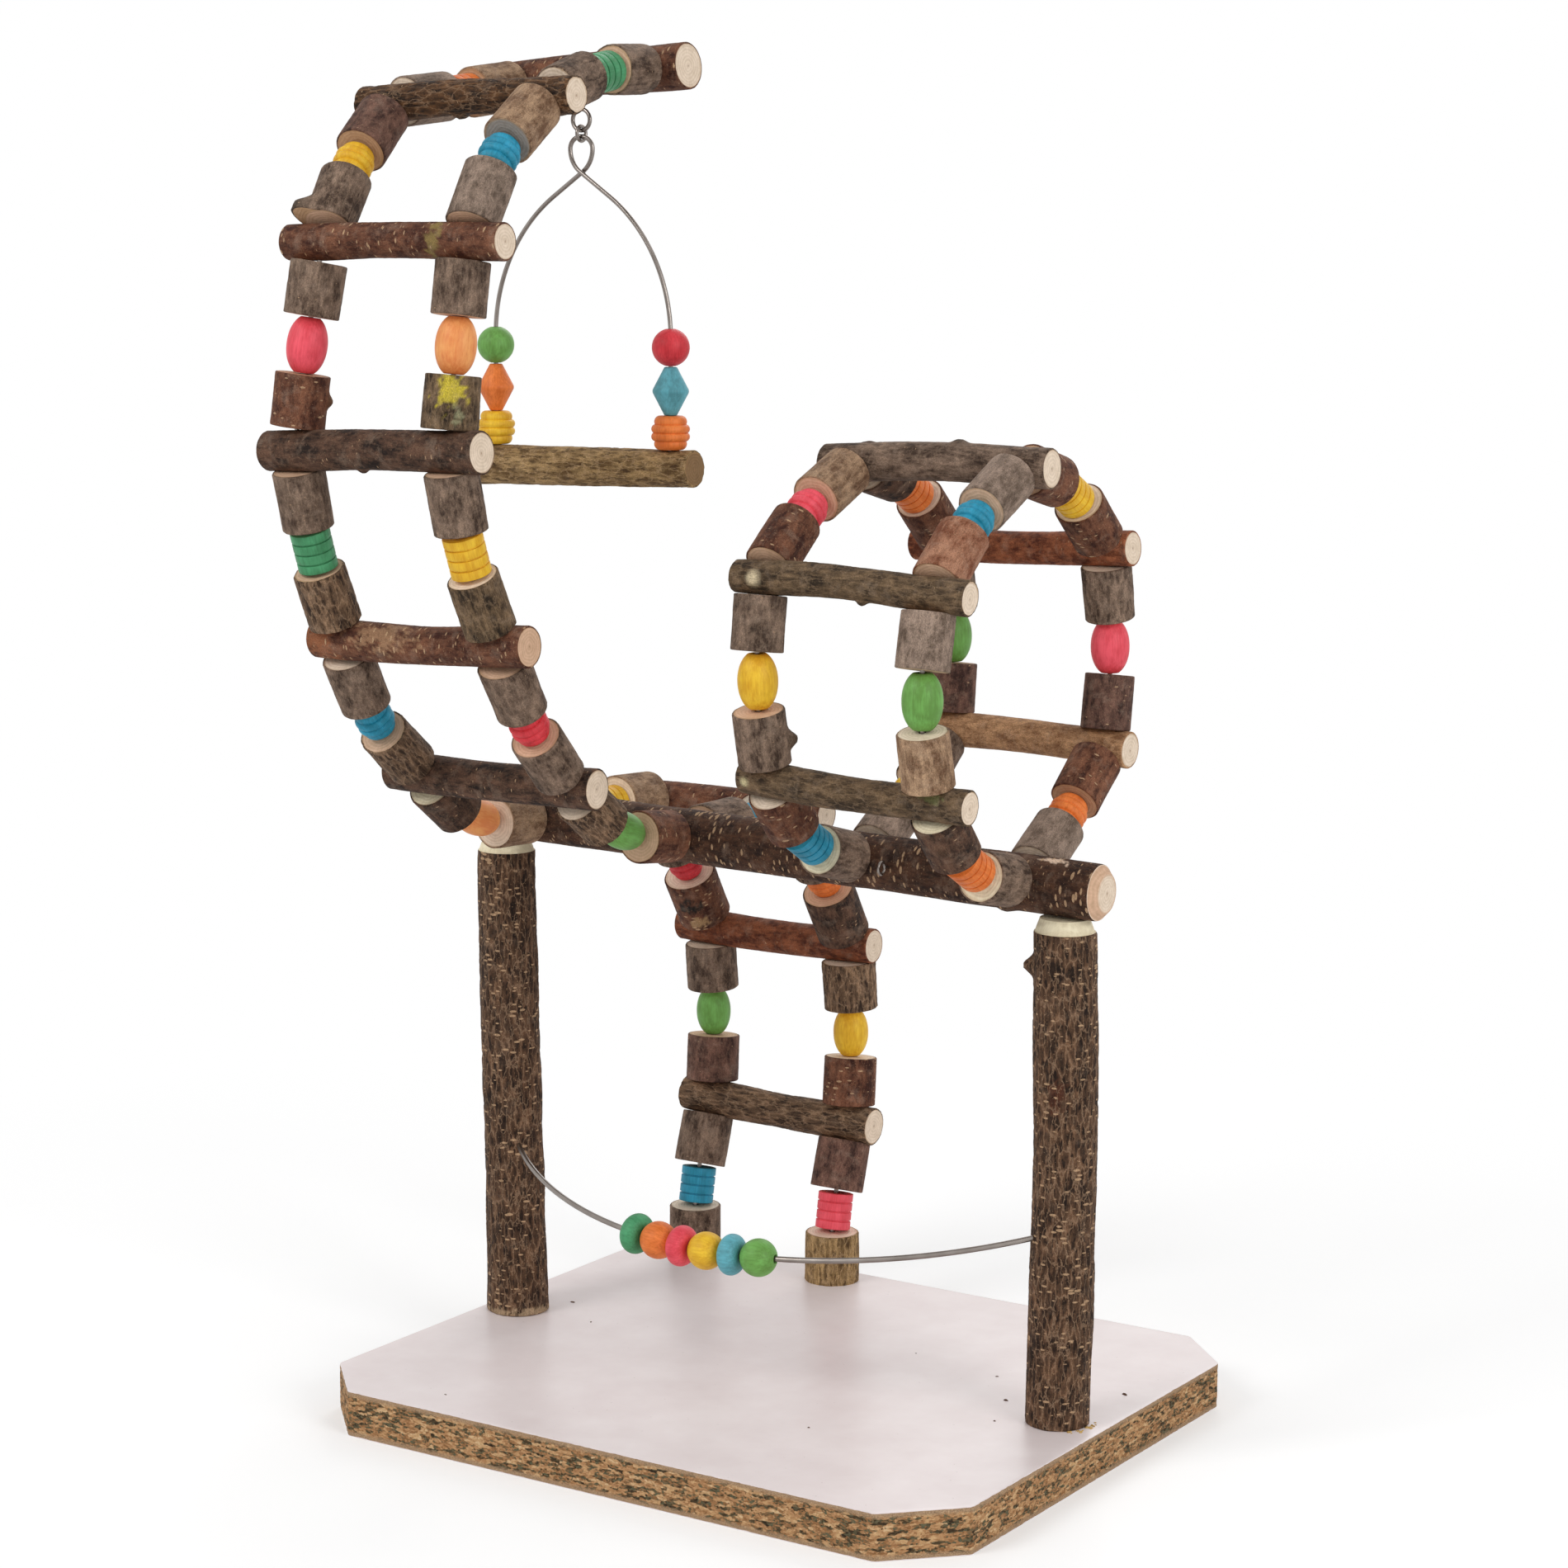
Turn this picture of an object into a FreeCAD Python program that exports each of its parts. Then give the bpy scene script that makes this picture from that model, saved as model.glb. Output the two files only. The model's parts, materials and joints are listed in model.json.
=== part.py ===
import FreeCAD, Part
import math
import os
from collections import namedtuple

# Parrot play stand of natural branches: a chipboard base, two posts, a main perch, a ladder that
# curls up in a crescent at the front and runs down to the base at the back, a ring of rungs, a
# swing and a bowed wire with sliding beads. Millimetres and degrees. X runs along the main perch,
# Y to the back, Z up. The origin is the middle of the base's underside.

V = FreeCAD.Vector
FRONT = V(0, -1, 0)
UP = V(0, 0, 1)
SIDES = {"left": -1, "right": 1}

Rung = namedtuple("Rung", "y z radius shift skew lean bow holes")
Run = namedtuple("Run", "block_one bead block_two")
Bead = namedtuple("Bead", "shape length end_radius")

# Base board: melamine-faced chipboard with its corners cut off
base_length = 400.0
base_width = 340.0
base_thickness = 25.0
base_corner_cut = 35.0
base_corner_round = 5.0

# Posts: debarked and tapered at the top, slightly bowed
left_post_x = -180.0
left_post_lean = -6.5
left_post_bow = 0.0
right_post_x = 173.0
right_post_lean = -1.0
right_post_bow = 2.0
post_foot_radius = 17.4
post_top_radius = 16.1
post_crown_radius = 13.5
post_crown_height = 7.0

# Main perch
perch_axis_height = 311.2
perch_slope = -0.018
perch_radius = 14.6
perch_left_overhang = 15.0
perch_right_overhang = 23.0
perch_end_chamfer = 4.0

# Ladder and ring: two side wires that carry rungs, bark blocks and beads
side_spacing = 97.0
ladder_x = -112.0
ring_x = 98.5
rung_length = 134.0
rung_waist = 0.96
crescent_run_length = 83.6
ramp_run_length = 84.9
foot_y = 150.5
ring_radius = 103.5
ring_lean = 2.2

# Wires and their clearances
side_wire_radius = 1.3
side_wire_bend = 6.0
side_wire_peg = 14.0
wood_bore_clearance = 0.4
bend_hollow = 0.5
seat_gap = 0.25
running_gap = 0.3

# Beads
bead_radius = 10.3
bead_bore_radius = 2.2
drum_length = 21.0
drum_groove_width = 0.8
drum_groove_depth = 1.0
drum_discs = 4
ribbed_length = 18.0
ribbed_end_radius = 6.6
oval_length = 28.0
oval_end_radius = 4.4
ball_radius = 10.1
diamond_length = 25.5
diamond_radius = 9.7
diamond_end_radius = 3.4
diamond_rim = 1.4
disc_length = 11.0
disc_radius = 11.0
disc_end_radius = 5.0

# Swing
swing_x = -121.0
eye_ring_radius = 5.6
eye_wire_radius = 1.15
eye_standoff = 5.0
eye_thread_length = 9.0
link_radius = 3.95
link_wire_radius = 1.0
hook_play = 0.2
hanger_wire_radius = 1.25
hanger_loop_half_width = 6.4
hanger_cross_angle = 34.0
hanger_cross_gap = 0.1
hanger_arm_bend = 90.0
swing_bead_spacing = 118.6
swing_perch_length = 148.0
swing_perch_left_radius = 11.0
swing_perch_right_radius = 9.7
swing_perch_drop = 176.178
swing_perch_slope = 0.02
hanger_end_depth = 6.0

# Bowed wire with sliding beads between the posts
toy_wire_radius = 1.5
toy_wire_end_height = 125.0
toy_wire_end_y = -11.0
toy_wire_end_inset = 9.5
toy_wire_sagitta = 67.0
toy_wire_droop = 15.5
toy_wire_peg = 9.0
toy_bore_clearance = 0.3
toy_bead_gap = 0.15

# Small screw eye on the front of the perch
toy_eye_x = 74.0
toy_eye_ring_radius = 3.1
toy_eye_wire_radius = 0.8
toy_eye_standoff = 1.6
toy_eye_thread_length = 8.0

# Screws: down through the perch and up through the base, into the posts
screw_radius = 2.1
screw_head_radius = 4.0
screw_head_height = 3.2
screw_bite = 28.0
screw_recess = 1.2
screw_clearance = 0.1

base_top = base_thickness
wood_bore_radius = side_wire_radius + wood_bore_clearance


def save(name, solids):
    """Write one node as a STEP file, as one solid or as a group of separate solids."""
    shape = solids[0] if len(solids) == 1 else Part.makeCompound(solids)
    shape.exportStep(f"parts/{name}.step")


def turned(edges):
    """Turn a closed outline in the XZ plane round the Z axis."""
    return Part.Face(Part.Wire(edges)).revolve(V(0, 0, 0), UP, 360)


def turned_polygon(points):
    """Turn a closed polygon of (radius, height) points round the Z axis."""
    corners = [V(radius, 0, height) for radius, height in points]
    return turned(Part.makePolygon(corners + corners[:1]).Edges)


def swept(edges, radius):
    """Bend a round wire along a path of tangent lines and arcs."""
    path = Part.Wire(edges)
    start = edges[0].valueAt(edges[0].FirstParameter)
    heading = edges[0].tangentAt(edges[0].FirstParameter)
    section = Part.Wire([Part.makeCircle(radius, start, heading)])
    return path.makePipeShell([section], True, True)


def place(solid, centre, heading):
    """Move a solid made on the Z axis to a centre, with its axis along a heading."""
    moved = solid.copy()
    moved.Placement = FreeCAD.Placement(centre, FreeCAD.Rotation(UP, heading))
    return moved


def stick(start, end, sections):
    """A natural stick through round sections of (share of length, sideways offset, radius)."""
    axis = end - start
    heading = V(axis).normalize()
    wires = []
    for share, offset, radius in sections:
        wires.append(Part.Wire([Part.makeCircle(radius, start + axis * share + offset, heading)]))
    return Part.makeLoft(wires, True, False)


# ---- Beads, each made round the Z axis and centred on the origin

def bored(solid, length):
    """Drill a bead along its axis."""
    return solid.cut(Part.makeCylinder(bead_bore_radius, length + 2, V(0, 0, -length / 2 - 1)))


def barrel(radius, length, end_radius):
    """A bead with one bulging arc between two flat ends."""
    half = length / 2
    low, high = V(end_radius, 0, -half), V(end_radius, 0, half)
    bulge = Part.Arc(low, V(radius, 0, 0), high).toShape()
    back = Part.makePolygon([high, V(0, 0, half), V(0, 0, -half), low]).Edges
    return bored(turned([bulge] + back), length)


def ribbed():
    """A bead of four rounded ribs, the outer two smaller."""
    rib_radii = (bead_radius * 0.84, bead_radius, bead_radius, bead_radius * 0.84)
    grooves = (ribbed_end_radius, bead_radius * 0.82, bead_radius * 0.9, bead_radius * 0.82,
               ribbed_end_radius)
    rib = ribbed_length / len(rib_radii)
    half = ribbed_length / 2
    edges = []
    for index, radius in enumerate(rib_radii):
        low = V(grooves[index], 0, index * rib - half)
        high = V(grooves[index + 1], 0, (index + 1) * rib - half)
        edges.append(Part.Arc(low, V(radius, 0, (index + 0.5) * rib - half), high).toShape())
    corners = [V(ribbed_end_radius, 0, half), V(0, 0, half), V(0, 0, -half)]
    edges += Part.makePolygon(corners + [V(ribbed_end_radius, 0, -half)]).Edges
    return bored(turned(edges), ribbed_length)


def drum():
    """A straight bead with narrow grooves that part it into discs."""
    pitch = (drum_length + drum_groove_width) / drum_discs
    core = bead_radius - drum_groove_depth
    points = [(0, -drum_length / 2)]
    for index in range(drum_discs):
        low = index * pitch - drum_length / 2
        high = low + pitch - drum_groove_width
        points += [(bead_radius, low), (bead_radius, high)]
        if index < drum_discs - 1:
            points += [(core, high), (core, high + drum_groove_width)]
    points.append((0, drum_length / 2))
    return bored(turned_polygon(points), drum_length)


def diamond():
    """A bead of two cones with a narrow rim."""
    half, rim = diamond_length / 2, diamond_rim / 2
    points = [(0, -half), (diamond_end_radius, -half), (diamond_radius, -rim),
              (diamond_radius, rim), (diamond_end_radius, half), (0, half)]
    return bored(turned_polygon(points), diamond_length)


def ball():
    return bored(Part.makeSphere(ball_radius), 2 * ball_radius)


BEADS = {
    "drum": Bead(drum, drum_length, bead_radius),
    "ribbed": Bead(ribbed, ribbed_length, ribbed_end_radius),
    "oval": Bead(lambda: barrel(bead_radius, oval_length, oval_end_radius), oval_length,
                 oval_end_radius),
    "ball": Bead(ball, 2 * ball_radius, bead_bore_radius),
    "diamond": Bead(diamond, diamond_length, diamond_end_radius),
    "disc": Bead(lambda: barrel(disc_radius, disc_length, disc_end_radius), disc_length,
                 disc_end_radius),
}


# ---- Where the rungs are

straight_holes = (0.0, 0.0)


def perch_height(x):
    """Height of the main perch's middle line at an X."""
    return perch_axis_height + perch_slope * x


def perch_at(x):
    """The stretch of the main perch that stands in for a rung at an X."""
    lean = perch_slope * rung_length
    return Rung(0.0, perch_height(x), perch_radius, 0.0, 0.0, lean, 0.0, straight_holes)


def step_from(rung, run, heading, radius, shift=0.0, skew=0.0, lean=0.0, bow=0.0,
              holes=straight_holes):
    """The next rung along the ladder, one run away at a heading from +Y towards +Z."""
    pitch = rung.radius + run + radius
    angle = math.radians(heading)
    y = rung.y + pitch * math.cos(angle)
    z = rung.z + pitch * math.sin(angle)
    return Rung(y, z, radius, shift, skew, lean, bow, holes)


def crescent_step(rung, *form, **wander):
    return step_from(rung, crescent_run_length, *form, **wander)


def ramp_step(rung, *form, **wander):
    return step_from(rung, ramp_run_length, *form, **wander)


# Each rung: heading of the run to it, radius, how far it strays from level and centred, and how
# far its left and right holes stray. Each fold is the angle by which a run's two blocks turn off
# its bead, outwards.
rung_f = crescent_step(perch_at(ladder_x), 159.7, 10.7, shift=-5, skew=2.7, lean=0.9, bow=-0.8,
                       holes=(-4, -5))
rung_e = crescent_step(rung_f, 130.5, 10.6, shift=2.4, skew=3.5, lean=3.9, bow=-1.2,
                       holes=(-1, 1))
rung_d = crescent_step(rung_e, 109.3, 10.6, shift=0.6, skew=2.5, lean=4.0, bow=0.6,
                       holes=(-1, -1.5))
rung_c = crescent_step(rung_d, 84.1, 9.4, shift=7.4, skew=2.7, lean=1.6, bow=0.8,
                       holes=(10, 2))
rung_b = crescent_step(rung_c, 44.2, 9.6, shift=-3.7, skew=3.0, lean=3.4, bow=1.2,
                       holes=(-4, -4))
rung_a = crescent_step(rung_b, 8.4, 12.0, shift=-5, skew=-4.6, lean=9.2, bow=0.8,
                       holes=(0, -9))
CRESCENT = [perch_at(ladder_x), rung_f, rung_e, rung_d, rung_c, rung_b, rung_a]
CRESCENT_BLOCKS = [14.4, 13.6, 13.6, 14.0, 13.4, 13.2]
CRESCENT_FOLDS = {-1: [19, 11, 5, 2, 7, -1], 1: [16, 6, 7, 1, 11, 7]}
CRESCENT_BEADS = ["oval", "ribbed", "drum", "oval", "ribbed", "drum"]

ramp_top = ramp_step(perch_at(ladder_x), -1.3, 10.0, shift=3, bow=0.6, holes=(2, 2))
rung_g = ramp_step(ramp_top, -55.6, 10.3, shift=-1.8, skew=2.8, bow=-1.2, holes=(-1, -1))
rung_h = ramp_step(rung_g, -91.0, 10.8, shift=2, skew=-1.1, lean=-2.6, bow=-0.8, holes=(1, 2))
foot = Rung(foot_y, base_top, 0.0, 0.0, 0.0, 0.0, 0.0, rung_h.holes)
RAMP = [perch_at(ladder_x), ramp_top, rung_g, rung_h, foot]
RAMP_BLOCKS = [15.4, 15.6, 15.6, 15.6]
RAMP_FOLDS = [1.0, 1.0, 5.0]
RAMP_BEADS = ["drum", "ribbed", "oval", "drum"]

RING_RADII = [8.9, 8.8, 10.1, 9.4, 9.6]
RING_SHIFTS = [3.0, 2.4, -1.2, -1.5, -2.5]
RING_HOLES = [(-1, -1), (-1, -1), (-1, -1), straight_holes, straight_holes]
RING_SKEWS = [-2.4, 2.2, 0.2, -2.9, -4.0]
RING_LEANS = [-4.1, -3.8, 2.4, 4.4, -2.2]
RING_BOWS = [-0.9, 1.5, 1.6, -0.8, 0.9]
RING_BLOCKS = [13.6, 13.4, 13.4, 13.6, 13.4, 13.6]
RING_FOLDS = {-1: [18, 10, 8, 14, 8, 4], 1: [20, 12, 7, 14, 10, 4]}
RING_BEADS = ["drum", "oval", "ribbed", "drum", "oval", "ribbed"]


def ring_rungs():
    """The ring's rungs stand on a leaning hexagon whose lowest corner is at the perch."""
    count = len(RING_RADII) + 1
    usual = sum(RING_RADII) / len(RING_RADII)
    lean = math.radians(ring_lean)
    rungs = []
    for index, radius in enumerate(RING_RADII):
        angle = math.tau * (index + 1) / count
        across = -ring_radius * math.sin(angle)
        above = ring_radius * (1 - math.cos(angle)) + perch_radius - usual
        y = across * math.cos(lean) - above * math.sin(lean)
        z = perch_height(ring_x) + above * math.cos(lean) + across * math.sin(lean)
        rungs.append(Rung(y, z, radius, RING_SHIFTS[index], RING_SKEWS[index],
                          RING_LEANS[index], RING_BOWS[index], RING_HOLES[index]))
    return rungs


RING = [perch_at(ring_x)] + ring_rungs() + [perch_at(ring_x)]


# ---- One side of the ladder or the ring

def crossing(rung, x, side):
    """A rung's middle where the wire of that side goes through it."""
    reach = side * side_spacing / 2 + rung.holes[max(side, 0)]
    share = (reach - rung.shift) / rung_length
    return V(x + reach, rung.y + share * rung.skew, rung.z + share * rung.lean)


def run_points(start, end, start_radius, end_radius, bead, fold):
    """The path points at a bead's two ends, where a run turns by its fold."""
    ahead = V(end - start).normalize()
    outward = V(0, -ahead.z, ahead.y).normalize()
    slant = math.tan(math.radians(fold))
    half = bead.length / 2 + bead.end_radius * abs(slant) + running_gap
    chord = (end - start).Length
    middle = (chord + start_radius - end_radius) / 2
    bulge = (min(middle, chord - middle) - half) * slant
    return [start + ahead * along + outward * bulge for along in (middle - half, middle + half)]


def side_path(rungs, beads, folds, x, side):
    """The wire's points on one side: a rung, the two ends of a bead, the next rung."""
    points = [crossing(rungs[0], x, side)]
    for index, fold in enumerate(folds):
        one, two = rungs[index], rungs[index + 1]
        end = crossing(two, x, side)
        bead = BEADS[beads[index]]
        points += run_points(points[-1], end, one.radius, two.radius, bead, fold) + [end]
    return points


def ramp_folds(side):
    """The ramp's folds; the last stands the two lowest blocks upright on the base."""
    above = crossing(rung_h, ladder_x, side) - crossing(foot, ladder_x, side)
    return RAMP_FOLDS + [-math.degrees(math.atan2(above.y, above.z))]


def block(start, end, radius, start_gap, end_gap):
    """A drilled bark block between two path points, kept off both by a gap."""
    heading = V(end - start).normalize()
    first = start + heading * start_gap
    length = (end - start).Length - start_gap - end_gap
    bore = Part.makeCylinder(wood_bore_radius, length + 2, first - heading, heading)
    return Part.makeCylinder(radius, length, first, heading).cut(bore)


def rung_gap(rung, block_axis, block_radius):
    """How far a block's flat end stays from a rung's middle, clear of a rung that strays."""
    if rung is foot:
        return 0.0
    rung_axis = V(rung_length, rung.skew, rung.lean).normalize()
    slope = abs(rung_axis.dot(V(block_axis).normalize()))
    slope += math.pi * abs(rung.bow) / side_spacing
    return rung.radius + seat_gap + block_radius * slope


def run_solids(one, two, path, bead, block_radius):
    """Block, bead, block along four path points between two rungs."""
    start, bead_start, bead_end, end = path
    one_gap = rung_gap(one, bead_start - start, block_radius)
    two_gap = rung_gap(two, end - bead_end, block_radius)
    first = block(start, bead_start, block_radius, one_gap, 0.0)
    second = block(bead_end, end, block_radius, 0.0, two_gap)
    heading = V(bead_end - bead_start).normalize()
    solid = place(bead.shape(), (bead_start + bead_end) / 2, heading)
    return Run(first, solid, second)


def side_runs(rungs, path, beads, block_radii):
    """Every run of one side, from its first rung to its last."""
    runs = []
    for index, radius in enumerate(block_radii):
        points = path[3 * index:3 * index + 4]
        runs.append(run_solids(rungs[index], rungs[index + 1], points, BEADS[beads[index]],
                               radius))
    return runs


def wire_edges(points, bend):
    """Straight runs through points, joined by tangent arcs of one bend radius."""
    edges = []
    start = points[0]
    for index in range(1, len(points) - 1):
        corner = points[index]
        before = V(points[index - 1] - corner).normalize()
        after = V(points[index + 1] - corner).normalize()
        turn = math.pi - before.getAngle(after)
        if turn < math.radians(0.5):
            continue
        reach = bend * math.tan(turn / 2)
        inward = V(before + after).normalize()
        middle = corner + inward * (bend / math.cos(turn / 2) - bend)
        enter, leave = corner + before * reach, corner + after * reach
        edges.append(Part.LineSegment(start, enter).toShape())
        edges.append(Part.Arc(enter, middle, leave).toShape())
        start = leave
    edges.append(Part.LineSegment(start, points[-1]).toShape())
    return edges


def wire_bores(path, index, depth):
    """Drill from a path point towards its neighbours, with a round hollow where they meet."""
    middle = path[index]
    bores = [Part.makeSphere(wood_bore_radius + bend_hollow, middle)]
    for neighbour in (index - 1, index + 1):
        if 0 <= neighbour < len(path):
            heading = V(path[neighbour] - middle).normalize()
            bores.append(Part.makeCylinder(wood_bore_radius, depth, middle, heading))
    return bores


# ---- Rungs, perch and posts

def rung_stick(rung, x):
    """A rung that bows between the two side wires and droops past them."""
    half = V(rung_length, rung.skew, rung.lean) / 2
    middle = V(x + rung.shift, rung.y, rung.z)
    left, right = [(crossing(rung, x, side).x - middle.x) / rung_length + 0.5
                   for side in SIDES.values()]
    droop = UP * (-0.35 * rung.bow)
    sections = [(0.0, droop, rung.radius * 0.97), (left, V(), rung.radius),
                ((left + right) / 2, UP * rung.bow, rung.radius * rung_waist),
                (right, V(), rung.radius), (1.0, droop, rung.radius * 1.02)]
    return stick(middle - half, middle + half, sections)


def drilled_rung(rung, x, paths, index):
    """A rung with the bores of both side wires."""
    solid = rung_stick(rung, x)
    for path in paths.values():
        solid = solid.cut(wire_bores(path, index, 2 * rung.radius))
    return solid


def screw(tip, heading, grip):
    """A countersunk screw, its head's top a grip length before the joint it closes."""
    length = grip + screw_bite
    shank = Part.makeCylinder(screw_radius, length - screw_head_height)
    cone = Part.makeCone(screw_radius, screw_head_radius, screw_head_height,
                         V(0, 0, length - screw_head_height))
    return place(shank.fuse(cone).removeSplitter(), tip, heading * -1)


def screw_hole(tip, heading, grip):
    """The hole that a screw needs, wider by the clearance and open above the head."""
    length = grip + screw_bite
    wide = screw_head_radius + screw_clearance
    narrow = screw_radius + screw_clearance
    shank = Part.makeCylinder(narrow, length - screw_head_height + screw_clearance,
                              V(0, 0, -screw_clearance))
    cone = Part.makeCone(narrow, wide, screw_head_height,
                         V(0, 0, length - screw_head_height))
    mouth = Part.makeCylinder(wide, 2 * screw_recess, V(0, 0, length))
    return place(shank.fuse([cone, mouth]), tip, heading * -1)


post_xs = {"left": left_post_x, "right": right_post_x}
post_leans = {"left": left_post_lean, "right": right_post_lean}
post_bows = {"left": left_post_bow, "right": right_post_bow}
post_top_xs = {name: x + post_leans[name] for name, x in post_xs.items()}
post_gap = seat_gap + post_crown_radius * abs(perch_slope)
post_tops = {name: perch_height(x) - perch_radius - post_gap
             for name, x in post_top_xs.items()}
perch_grip = post_gap + 2 * perch_radius - screw_recess
base_grip = base_thickness - screw_recess
perch_screw_tips = {name: V(x, 0, post_tops[name] - screw_bite)
                    for name, x in post_top_xs.items()}
base_screw_tips = {name: V(x, 0, base_top + screw_bite) for name, x in post_xs.items()}
DOWN = UP * -1


def toy_wire_arc():
    """Ends, middle, centre, axis and end headings of the bowed wire's arc."""
    left = V(left_post_x + toy_wire_end_inset, toy_wire_end_y, toy_wire_end_height)
    right = V(right_post_x - toy_wire_end_inset, toy_wire_end_y, toy_wire_end_height)
    droop = math.radians(toy_wire_droop)
    out = V(0, -math.cos(droop), -math.sin(droop))
    chord = (right - left).Length
    radius = (chord ** 2 / 4 + toy_wire_sagitta ** 2) / (2 * toy_wire_sagitta)
    middle = (left + right) / 2 + out * toy_wire_sagitta
    centre = middle - out * radius
    axis = V(0, -math.sin(droop), math.cos(droop))
    return left, middle, right, centre, axis, radius


toy_left, toy_middle, toy_right, toy_centre, toy_axis, toy_radius = toy_wire_arc()
toy_left_heading = V(toy_left - toy_centre).cross(toy_axis).normalize()
toy_right_heading = toy_axis.cross(toy_right - toy_centre).normalize()


def toy_bore(end, heading):
    """The blind hole in a post for one end of the bowed wire."""
    radius = toy_wire_radius + toy_bore_clearance
    start = end - heading * post_foot_radius
    return Part.makeCylinder(radius, post_foot_radius + toy_wire_peg + 1, start, heading)


def post(name, toy_end, toy_heading):
    """A bowed post with a tapered, debarked top, drilled for its screws and the bowed wire."""
    post_foot = V(post_xs[name], 0, base_top)
    shoulder = V(post_xs[name], 0, post_tops[name] - post_crown_height)
    lean, bow = V(post_leans[name], 0, 0), V(post_bows[name], 0, 0)
    middle_radius = (post_foot_radius + post_top_radius) / 2
    sections = [(0.0, V(), post_foot_radius), (0.3, lean * 0.3 + bow * 0.7, middle_radius),
                (0.65, lean * 0.75 + bow, middle_radius), (1.0, lean, post_top_radius)]
    trunk = stick(post_foot, shoulder, sections)
    shoulder += lean
    crown = Part.makeCone(post_top_radius, post_crown_radius, post_crown_height, shoulder)
    solid = trunk.fuse(crown)
    holes = [screw_hole(perch_screw_tips[name], DOWN, perch_grip),
             screw_hole(base_screw_tips[name], UP, base_grip), toy_bore(toy_end, toy_heading)]
    return solid.cut(holes)


def perch_solid(bores):
    """The main perch, chamfered at both ends, with its wire bores and screw holes."""
    left = left_post_x - perch_left_overhang
    length = right_post_x + perch_right_overhang - left
    chamfer = perch_end_chamfer
    tip = perch_radius - chamfer
    profile = [(0, 0), (tip, 0), (perch_radius, chamfer), (perch_radius, length - chamfer),
               (tip, length), (0, length)]
    solid = place(turned_polygon(profile), V(left, 0, perch_height(left)), V(1, 0, perch_slope))
    return solid.cut(bores)


# ---- Base

def base_board():
    """Octagonal board with softened upright corners."""
    x, y, cut = base_length / 2, base_width / 2, base_corner_cut
    corners = [V(-x, -y + cut, 0), V(-x + cut, -y, 0), V(x - cut, -y, 0), V(x, -y + cut, 0),
               V(x, y - cut, 0), V(x - cut, y, 0), V(-x + cut, y, 0), V(-x, y - cut, 0)]
    board = Part.Face(Part.makePolygon(corners + corners[:1])).extrude(V(0, 0, base_thickness))
    upright = [edge for edge in board.Edges
               if abs(edge.tangentAt(edge.FirstParameter).z) > 0.99]
    board = board.makeFillet(base_corner_round, upright)
    holes = [screw_hole(tip, UP, base_grip) for tip in base_screw_tips.values()]
    for side in SIDES.values():
        top = crossing(foot, ladder_x, side)
        holes.append(Part.makeCylinder(wood_bore_radius, side_wire_peg + 1, top, DOWN))
    return board.cut(holes)


# ---- Swing

def rung_underside(rung, x, along):
    """Lowest point of a bowed rung at an X near its middle."""
    share = (along - x - rung.shift) / rung_length
    drop = rung.bow - rung.radius * rung_waist
    return V(along, rung.y + rung.skew * share, rung.z + rung.lean * share + drop)


eye_top = rung_underside(rung_a, ladder_x, swing_x)
eye_centre = eye_top - UP * (eye_standoff + eye_ring_radius + eye_wire_radius)
link_pivot = eye_centre - UP * eye_ring_radius
link_centre = link_pivot + UP * (eye_wire_radius + hook_play + link_wire_radius - link_radius)
hanger_pivot = link_centre - UP * link_radius
loop_top = hanger_pivot + UP * (link_wire_radius + hook_play + hanger_wire_radius)


def screw_eye(centre, ring_radius, wire_radius, plane, thread, reach):
    """A ring with a shank; the thread runs from the ring towards the wood."""
    ring = Part.makeTorus(ring_radius, wire_radius, centre, plane)
    start = centre + thread * ring_radius
    return ring.fuse(Part.makeCylinder(wire_radius, reach, start, thread)).removeSplitter()


def hanger_side(side, loop_side_z):
    """One arm of the swing's wire, from its lower end over the crossing to the loop's far side."""
    cross = math.radians(hanger_cross_angle)
    half, spread = hanger_loop_half_width, swing_bead_spacing / 2
    bend, neck = hanger_arm_bend, half / (1 - math.sin(cross))
    cross_z = loop_side_z - neck * math.cos(cross)
    slope = V(side * math.cos(cross), 0, -math.sin(cross))
    straight = (spread - bend * (1 - math.sin(cross))) / math.cos(cross)
    middle_turn = (math.pi / 2 + cross) / 2
    top = hanger_point(side, 0, cross_z)
    arm_top = top + slope * straight
    arm_z = arm_top.z - bend * math.cos(cross)
    on_arm = hanger_point(side, spread - bend * (1 - math.sin(middle_turn)),
                          arm_z + bend * math.cos(middle_turn))
    on_neck = hanger_point(side, neck * (1 - math.sin(middle_turn)) - half,
                           loop_side_z - neck * math.cos(middle_turn))
    arm_end = hanger_point(side, spread, arm_z)
    low_end = hanger_point(side, spread, swing_axis(arm_end.x) - hanger_end_depth)
    return [Part.LineSegment(low_end, arm_end).toShape(),
            Part.Arc(arm_end, on_arm, arm_top).toShape(),
            Part.LineSegment(arm_top, top).toShape(),
            Part.Arc(top, on_neck, hanger_point(side, -half, loop_side_z)).toShape()]


def hanger_point(side, x, z):
    """A point of one arm, which passes the other arm side by side where they cross."""
    aside = hanger_wire_radius + hanger_cross_gap / 2
    return V(swing_x + side * x, eye_top.y - side * aside, z)


def swing_axis(x):
    """Height of the swing perch's middle line at an X; it hangs a set drop below the loop's top."""
    return loop_top.z - swing_perch_drop + swing_perch_slope * (x - swing_x)


def swing_radius(x):
    """Radius of the swing perch at an X; it tapers from left to right."""
    share = (x - swing_x) / swing_perch_length + 0.5
    return swing_perch_left_radius * (1 - share) + swing_perch_right_radius * share


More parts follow.
